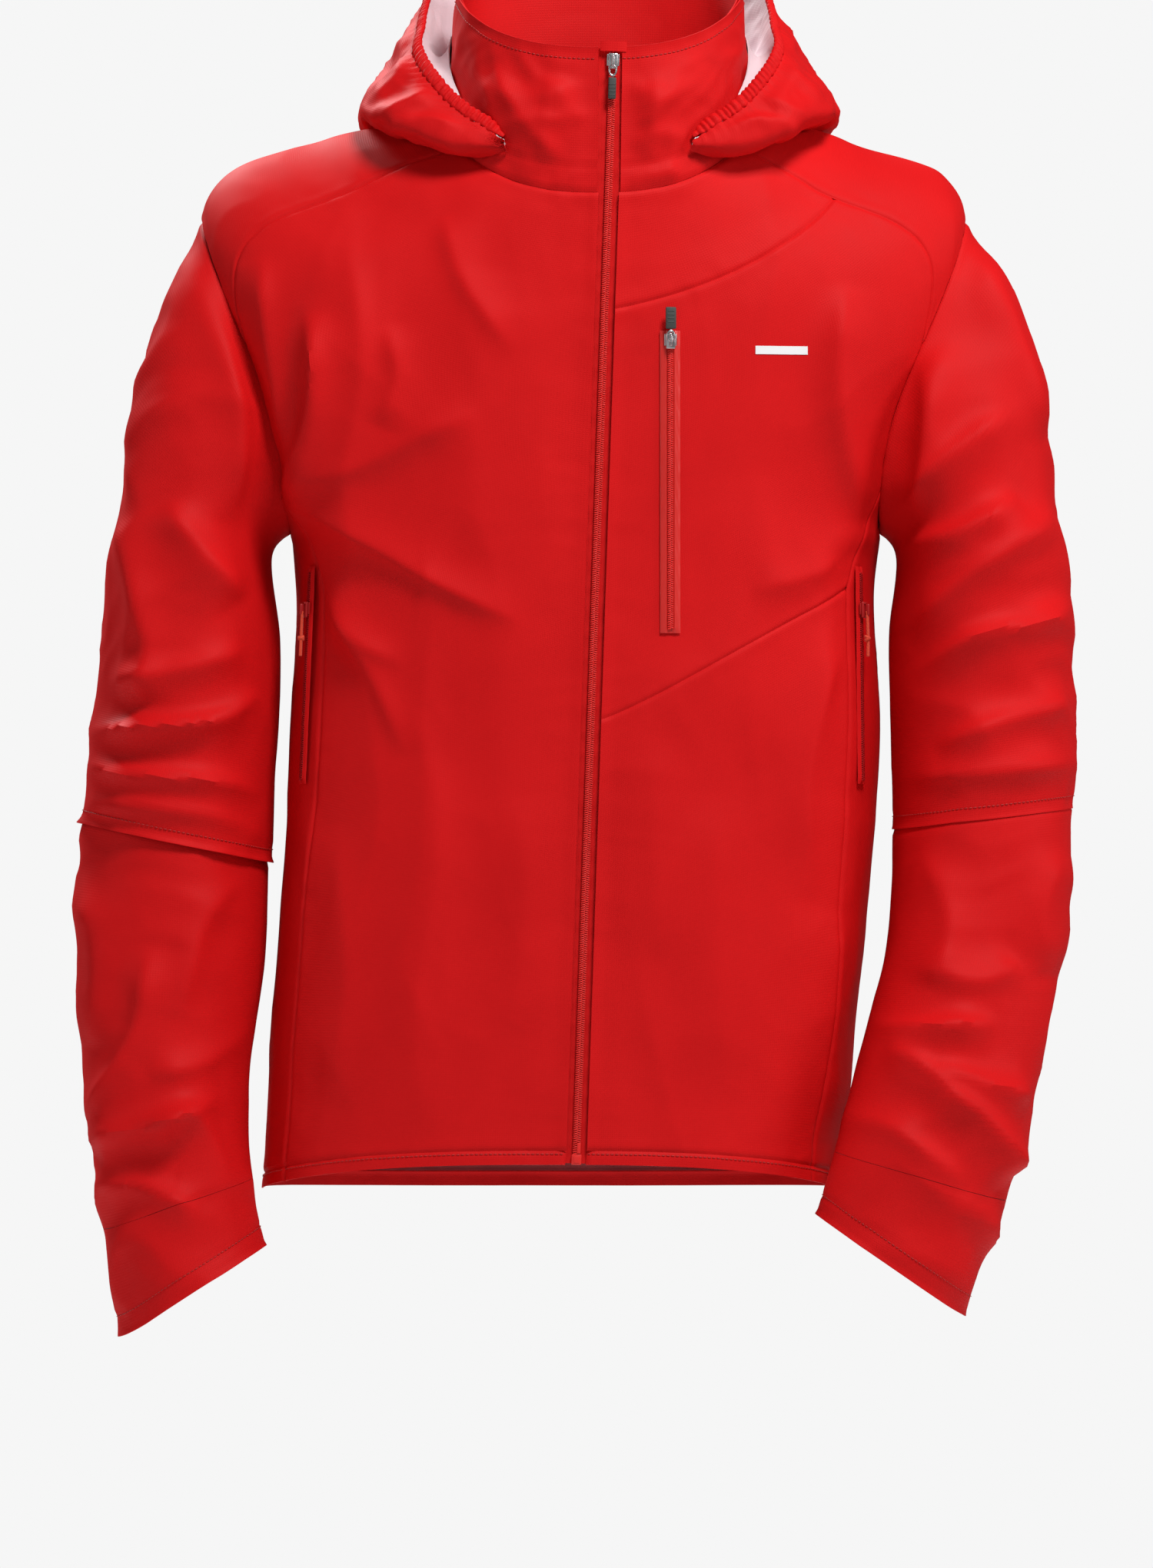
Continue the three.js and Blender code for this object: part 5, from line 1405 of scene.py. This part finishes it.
def block(centre, size, bevel=0.4, taper=1.0, segments=3):
    """A box with rounded edges, in mm; taper is how wide its foot is against its head."""
    bpy.ops.mesh.primitive_cube_add(size=1)
    made = bpy.context.object
    made.scale = [s * MM for s in size]
    bpy.ops.object.transform_apply(location=False, rotation=False, scale=True)
    for vertex in made.data.vertices:
        vertex.select = vertex.co.z < 0
    bpy.ops.object.mode_set(mode="EDIT")
    bpy.ops.transform.resize(value=(taper, 1, 1))
    bpy.ops.object.mode_set(mode="OBJECT")
    edge = made.modifiers.new("edge", "BEVEL")
    edge.width, edge.segments = bevel * MM, segments
    bpy.ops.object.modifier_apply(modifier="edge")
    made.location = [c * MM for c in centre]
    bpy.ops.object.transform_apply(location=True, rotation=False, scale=False)
    made.select_set(False)
    return made


def loop(centre, half_width, half_length, wire):
    """A closed ring of wire that stands in the plane of the zip."""
    bpy.ops.mesh.primitive_torus_add(
        major_segments=32, minor_segments=12, major_radius=(half_width - wire) * MM, minor_radius=wire * MM,
        rotation=(math.pi / 2, 0, 0))
    made = bpy.context.object
    bpy.ops.object.transform_apply(location=False, rotation=True, scale=False)
    made.scale = (1, 1, half_length / half_width)
    made.location = [c * MM for c in centre]
    bpy.ops.object.transform_apply(location=True, rotation=False, scale=True)
    made.select_set(False)
    return made


def assembled(name, parts, place, material, slot, body="torso"):
    """Joins parts into one piece and moves its mesh into a zip's frame."""
    bpy.ops.object.select_all(action="DESELECT")
    for part in parts:
        part.select_set(True)
    bpy.context.view_layer.objects.active = parts[0]
    if len(parts) > 1:
        bpy.ops.object.join()
    piece = bpy.context.object
    piece.name = name
    piece.data.transform(place)
    piece.data.materials.clear()
    piece.data.materials.append(material)
    bpy.ops.object.shade_smooth_by_angle(angle=HARD_EDGE)
    piece.select_set(False)
    hand_over(piece, body, slot, name)


def teeth(side, bottom, top, reach, front, back):
    """A row of teeth on one side of a zip; the other side's row is half a pitch higher."""
    start = bottom + (COIL_PITCH / 2 if side > 0 else 0)
    tooth = block((0, 0, 0), (reach + 0.4, back - front, COIL_PITCH * 0.66), 0.25, segments=1)
    tooth.rotation_euler = (0, side * 0.22, 0)
    tooth.location = Vector((side * (reach / 2 - 0.1), (front + back) / 2, start)) * MM
    tooth.select_set(True)
    bpy.context.view_layer.objects.active = tooth
    bpy.ops.object.transform_apply(location=True, rotation=True, scale=False)
    row = tooth.modifiers.new("row", "ARRAY")
    row.count = int((top - start) / COIL_PITCH)
    row.use_relative_offset, row.use_constant_offset = False, True
    row.constant_offset_displace = (0, 0, COIL_PITCH * MM)
    bpy.ops.object.modifier_apply(modifier="row")
    tooth.select_set(False)
    return tooth


def zip_cloth(name, zip_name, x, y, z, materials, slot, thickness=0.6 * MM):
    """Cloth laid out in a zip's frame, in mm: x across the zip, y inwards, z up."""
    turned = np.array(ZIPS[zip_name])
    grid = np.stack([x, y, z], -1) * MM @ turned[:3, :3].T + turned[:3, 3]
    (grid,) = outward(grid, -turned[:3, 1])
    piece = cloth_object(name, grid, materials, thickness=thickness)
    hand_over(piece, "torso", slot, name)
    declare_sheet(piece, grid)


def ribbon(name, across, along_z, depth, material, slot, thickness=0.6 * MM, seed=201, edge=0.0, wave=0.25,
           columns=9):
    """A flat strip of the main zip; depth is how far in it lies, and edge how much its sides drop."""
    x, z = np.broadcast_arrays(
        np.linspace(*across, columns)[:, None],
        np.linspace(*along_z, max(8, int((along_z[1] - along_z[0]) / 3)))[None, :])
    share = np.abs(2 * (x - across[0]) / (across[1] - across[0]) - 1)
    y = depth + edge * share**3 + wave * gradient_noise(np.stack([x, z * 0, z], -1) / 14, seed)
    zip_cloth(name, "main", x, y, z, [material] * 2, slot, thickness)


print("zip tools ready")

# %% [markdown]
# The main zip's slider is closed under the garage at the collar. Its pull hangs from a wire loop, and the
# grip is black rubber with ribs for a gloved hand.

# %% Main zip
main = ZIPS["main"]
bottom, top = ZIP_ENDS["main"]
for side, name in ((-1, "right"), (1, "left")):
    across = (0.2, 10.4) if side > 0 else (-10.4, -0.2)
    ribbon(name + "_zip_tape", across, (bottom + 1, top - 1), 5.9, zip_tape_weave, "zip_plastic",
           seed=203 + side)
    start = bottom + (15 if side > 0 else 7.5)
    coil = teeth(side, start, top - 4, 2.6, 3.7, 5.3)
    assembled(name + "_zip_coil", [coil], main, coil_nylon, "zip_plastic")
    stop = block((side * 1.6, 4.4, top - 1.6), (2.6, 2.4, 3.0), 0.5)
    assembled(name + "_zip_top_stop", [stop], main, coil_nylon, "zip_plastic")
box = block((0, 4.1, bottom + 3.5), (6.8, 2.6, 7.0), 0.6)
boss = block((0, 2.7, bottom + 3.5), (4.2, 0.5, 4.6), 0.2)
assembled("zip_retainer_box", [box, boss], main, coil_nylon, "zip_plastic")
pin = block((1.4, 4.2, bottom + 11.2), (2.6, 2.2, 7.4), 0.5)
assembled("zip_pin", [pin], main, coil_nylon, "zip_plastic")
ribbon("storm_flap", (-15, 15), (bottom + 3.5, top - 4), 7.6, shell_nylon, "shell_fabric", 0.9 * MM, 211,
       wave=0.4)
ribbon("zip_garage", (-9, 9), (top - 3.2, top + 3.8), 1.7, shell_nylon, "shell_fabric", 0.8 * MM, 223,
       edge=1.2, wave=0.15, columns=15)


def slider_parts():
    plate = block((0, 2.2, 1.8), (9.2, 2.0, 11), 0.8, 0.7)
    bridge = block((0, -0.4, 1.8), (1.9, 3.4, 8), 0.9)
    flanges = [block((k * 3.7, 3.3, 2.6), (1.1, 1.2, 8), 0.3) for k in (-1, 1)]
    nose = block((0, 1.0, 6.2), (4.6, 1.2, 1.6), 0.5)
    return [plate, bridge, nose] + flanges


def add_pull(name, up):
    """The wire loop and the ribbed grip of a pull that hangs down, or points up."""
    place = ZIPS[name]
    link = [loop((0, 0, up * 5.0), 3.0, 4.4, 0.62)]
    grip = [block((0, 0, up * 17.3), (6.2, 2.4, 15), 0.9, 0.86 if up < 0 else 1.16)]
    grip += [block((0, 0, up * at), (4.8, 2.9, 1.1), 0.4) for at in (14.5, 17.0, 19.5, 22.0)]
    assembled(name + "_pull_link", link, place, plated_zinc, "slider_metal", name + "_pull")
    assembled(name + "_pull_grip", grip, place, moulded_rubber, "pull_rubber", name + "_pull")


assembled("main_slider", slider_parts(), main, plated_zinc, "slider_metal", "main_slider")
add_pull("main", -1)
print("main zip closed")

# %% [markdown]
# The chest and vent zips are bonded over their openings, with a tape whose two lips rise beside the coil. The
# chest's is a smooth, slightly glossy strip, and the vents' are of shell cloth. The chest zip closes upwards,
# so its pull points up. The vents' sliders are lacquered red.

# %% Chest and vent zips
bonded_welt = woven("bonded_welt", "#dd2a24", "#cb211c", 1.0, 0.5, "Object", roughness=0.42)
WELT_ACROSS = np.array([0, 0.2, 0.34, 0.42, 0.62, 0.85, 0.97, 1])  # share of the half width
WELT_RISE = np.array([0.2, 0.1, -0.5, -1.0, -0.6, -0.1, 0.2, 0.6])  # mm inwards, the lips being highest


def welt_zip(zip_name, half_width, slider, node, metal, welt, coil):
    """Tape with raised lips, coil and slider of a small zip."""
    place = ZIPS[zip_name]
    bottom, head = ZIP_ENDS[zip_name]
    x = np.concatenate([-WELT_ACROSS[:0:-1], WELT_ACROSS])
    rise = np.concatenate([WELT_RISE[:0:-1], WELT_RISE])
    z = np.linspace(bottom, head, int((head - bottom) / 2))
    across, up = np.meshgrid(x * half_width, z, indexing="ij")
    end = smooth(np.minimum(up - bottom, head - up) / 3.0)
    depth = 5.4 + rise[:, None] * (0.3 + 0.7 * end) + 0.3 * (1 - end)
    depth = depth + 0.22 * gradient_noise(np.stack([across * 0.4, across * 0, up], -1) / 9, 231)
    zip_cloth(node + "_tape", zip_name, across, depth, up, [welt] * 2, "zip_plastic")
    rows = [teeth(k, bottom + 3, head - 3, 1.9, 3.9, 5.2) for k in (-1, 1)]
    assembled(node + "_coil", rows, place, coil, "zip_plastic")
    assembled(node + "_slider", slider_parts(), place, metal, "slider_metal", slider)


welt_zip("chest", 7.0, "chest_slider", "chest_zip", plated_zinc, bonded_welt, coil_nylon)
# The vents' coils take the darker red, painted shade for the shadow under the arms.
for side in ("right", "left"):
    welt_zip(side + "_vent", 5.0, side + "_vent_slider", side + "_vent_zip", lacquered_zinc, shell_nylon,
             vent_coil_painted_shade)
add_pull("chest", 1)
print("small zips closed")

# %% [markdown]
# ## Small pieces of cloth
# The chest mark is plain white film pressed on the cloth, so it takes the cloth's own shape. The pocket bag
# hangs behind the chest zip. The hang loop and the blank label are sewn inside the back of the neck.


# %% Mark, pocket bag, loop and label
def on_body(x_range, z_range, columns, rows, inset):
    """A grid on the body's front between two widths and two heights, in mm, lying a little in or out."""
    x, z = np.broadcast_arrays(np.linspace(*x_range, columns)[:, None] * MM,
                               np.linspace(*z_range, rows)[None, :] * MM)
    level = np.full(x.shape, 2.5)
    for _ in range(6):
        angle = angle_at(x, level)
        level = level_at(angle, z)
    grid, facing = body_cloth(angle, level)
    grid, facing = outward(grid, facing, facing)
    return grid - facing * inset * MM


def small_cloth(name, grid, material, slot, thickness):
    piece = cloth_object(name, grid, [material] * 2, thickness=thickness)
    hand_over(piece, "torso", slot, name)
    declare_sheet(piece, grid)


small_cloth("chest_mark", on_body((117.3, 153.0), (-181.8, -176.1), 24, 8, -0.45), heat_film, "white_print",
            0.3 * MM)
bag = on_body((35, 149), (-394, -191), 60, 100, 4.2)
bag = bag + 0.8 * MM * np.array([0, 1, 0]) * creases(bag, 40 * MM, 241)[..., None]
small_cloth("chest_pocket_bag", bag, hood_taffeta, "lining_fabric", 0.6 * MM)

turn = np.linspace(0, np.pi, 40)
middle = np.stack([-12.2 * np.cos(turn), -0.9 - 1.2 * np.sin(turn), 1.5 - 10.5 * np.sin(turn) ** 0.8], -1)
aside = np.gradient(middle, axis=0)
aside = np.stack([aside[:, 2], 0 * turn, -aside[:, 0]], -1)
aside /= np.linalg.norm(aside, axis=1, keepdims=True)
strip = np.stack([middle + aside * w for w in np.linspace(-2.6, 2.6, 7)], 0) * MM
(strip,) = outward(strip, np.array([0, -1, 0]))
small_cloth("hang_loop", strip, shell_nylon, "shell_fabric", 1.0 * MM)

label = collar_point(*np.broadcast_arrays(np.linspace(173, 198, 40)[:, None],
                                          np.linspace(0.25, 0.50, 24)[None, :]))
inside = normals_of(label)
label, inside = outward(label, np.array([0, -1, 0]), inside)
small_cloth("neck_label", label + inside * 5.2 * MM, label_satin, "white_print", 0.4 * MM)
print("small pieces sewn")

# %% [markdown]
# ## Topstitches of the hem
# The seams of this jacket are sewn and taped from inside, so besides the collar's edge, the elbows and the
# cuffs only the hem carries a row of stitches that shows.

# %% Hem stitches
rows = [row_below(*BODY_GRIDS[name], 2.4 * MM, lift=0.25 * MM) for name in HEM_BANDS]
stitches_on("hem_stitches", rows, "torso")

# %% [markdown]
# ## Floor and light
# A pale floor lies far below, under an even pale sky. The sky shows at full strength behind the jacket but
# lights it only a little, so the lamps model the folds. The key light hangs high in front, so folds throw
# shadows down. Two lights from the sides draw the sleeves, a broad weak one fills the front, and one behind
# lights the back.

# %% Floor and light
FLOOR_HEIGHT, FLOOR_RADIUS = -1.36, 3.4
SKY_SHOWN, SKY_LIGHT = 1.0, 0.08
LAMPS = {  # place, what it points at, width in metres, watts
    "key": ((0.8, -1.7, 2.1), (0, 0, -0.4), 0.7, 80),
    "right_edge": ((2.7, -0.7, 0.7), (0, 0, -0.4), 0.9, 22),
    "left_edge": ((-2.7, -0.9, 0.5), (0, 0, -0.4), 1.2, 10),
    "front": ((-0.4, -4.5, -0.2), (0, 0, -0.45), 2.5, 9),
    "back": ((-1.4, 2.0, 1.9), (0, 0, -0.4), 1.0, 84),
}
bpy.ops.mesh.primitive_circle_add(vertices=128, radius=FLOOR_RADIUS, fill_type="NGON",
                                  location=(0, 0, FLOOR_HEIGHT))
floor = bpy.context.object
floor.name = "floor"
floor_paint = finish("floor_paint", base_color=linear("#f2f2f2"), roughness=0.9)[0]
floor.data.materials.append(floor_paint)
bpy.ops.object.select_all(action="DESELECT")
for name, (place, target, size, watts) in LAMPS.items():
    lamp = bpy.data.lights.new(name, "AREA")
    lamp.size, lamp.energy = size, watts
    holder = bpy.data.objects.new(name, lamp)
    bpy.context.scene.collection.objects.link(holder)
    holder.location = place
    holder.rotation_euler = (Vector(target) - Vector(place)).to_track_quat("-Z", "Y").to_euler()
world = bpy.data.worlds.new("studio")
world.use_nodes = True
sky = world.node_tree
shown = node(sky, "ShaderNodeBackground", values={"Color": linear("#f6f6f6"), "Strength": SKY_SHOWN})
sky.nodes["Background"].inputs["Color"].default_value = linear("#ffffff")
sky.nodes["Background"].inputs["Strength"].default_value = SKY_LIGHT
seen = node(sky, "ShaderNodeLightPath").outputs["Is Camera Ray"]
mixed = node(sky, "ShaderNodeMixShader", links={0: seen, 1: sky.nodes["Background"].outputs[0],
                                                2: shown.outputs[0]})
sky.links.new(mixed.outputs[0], sky.nodes["World Output"].inputs["Surface"])
bpy.context.scene.world = world
bpy.context.scene.view_settings.view_transform = "Standard"
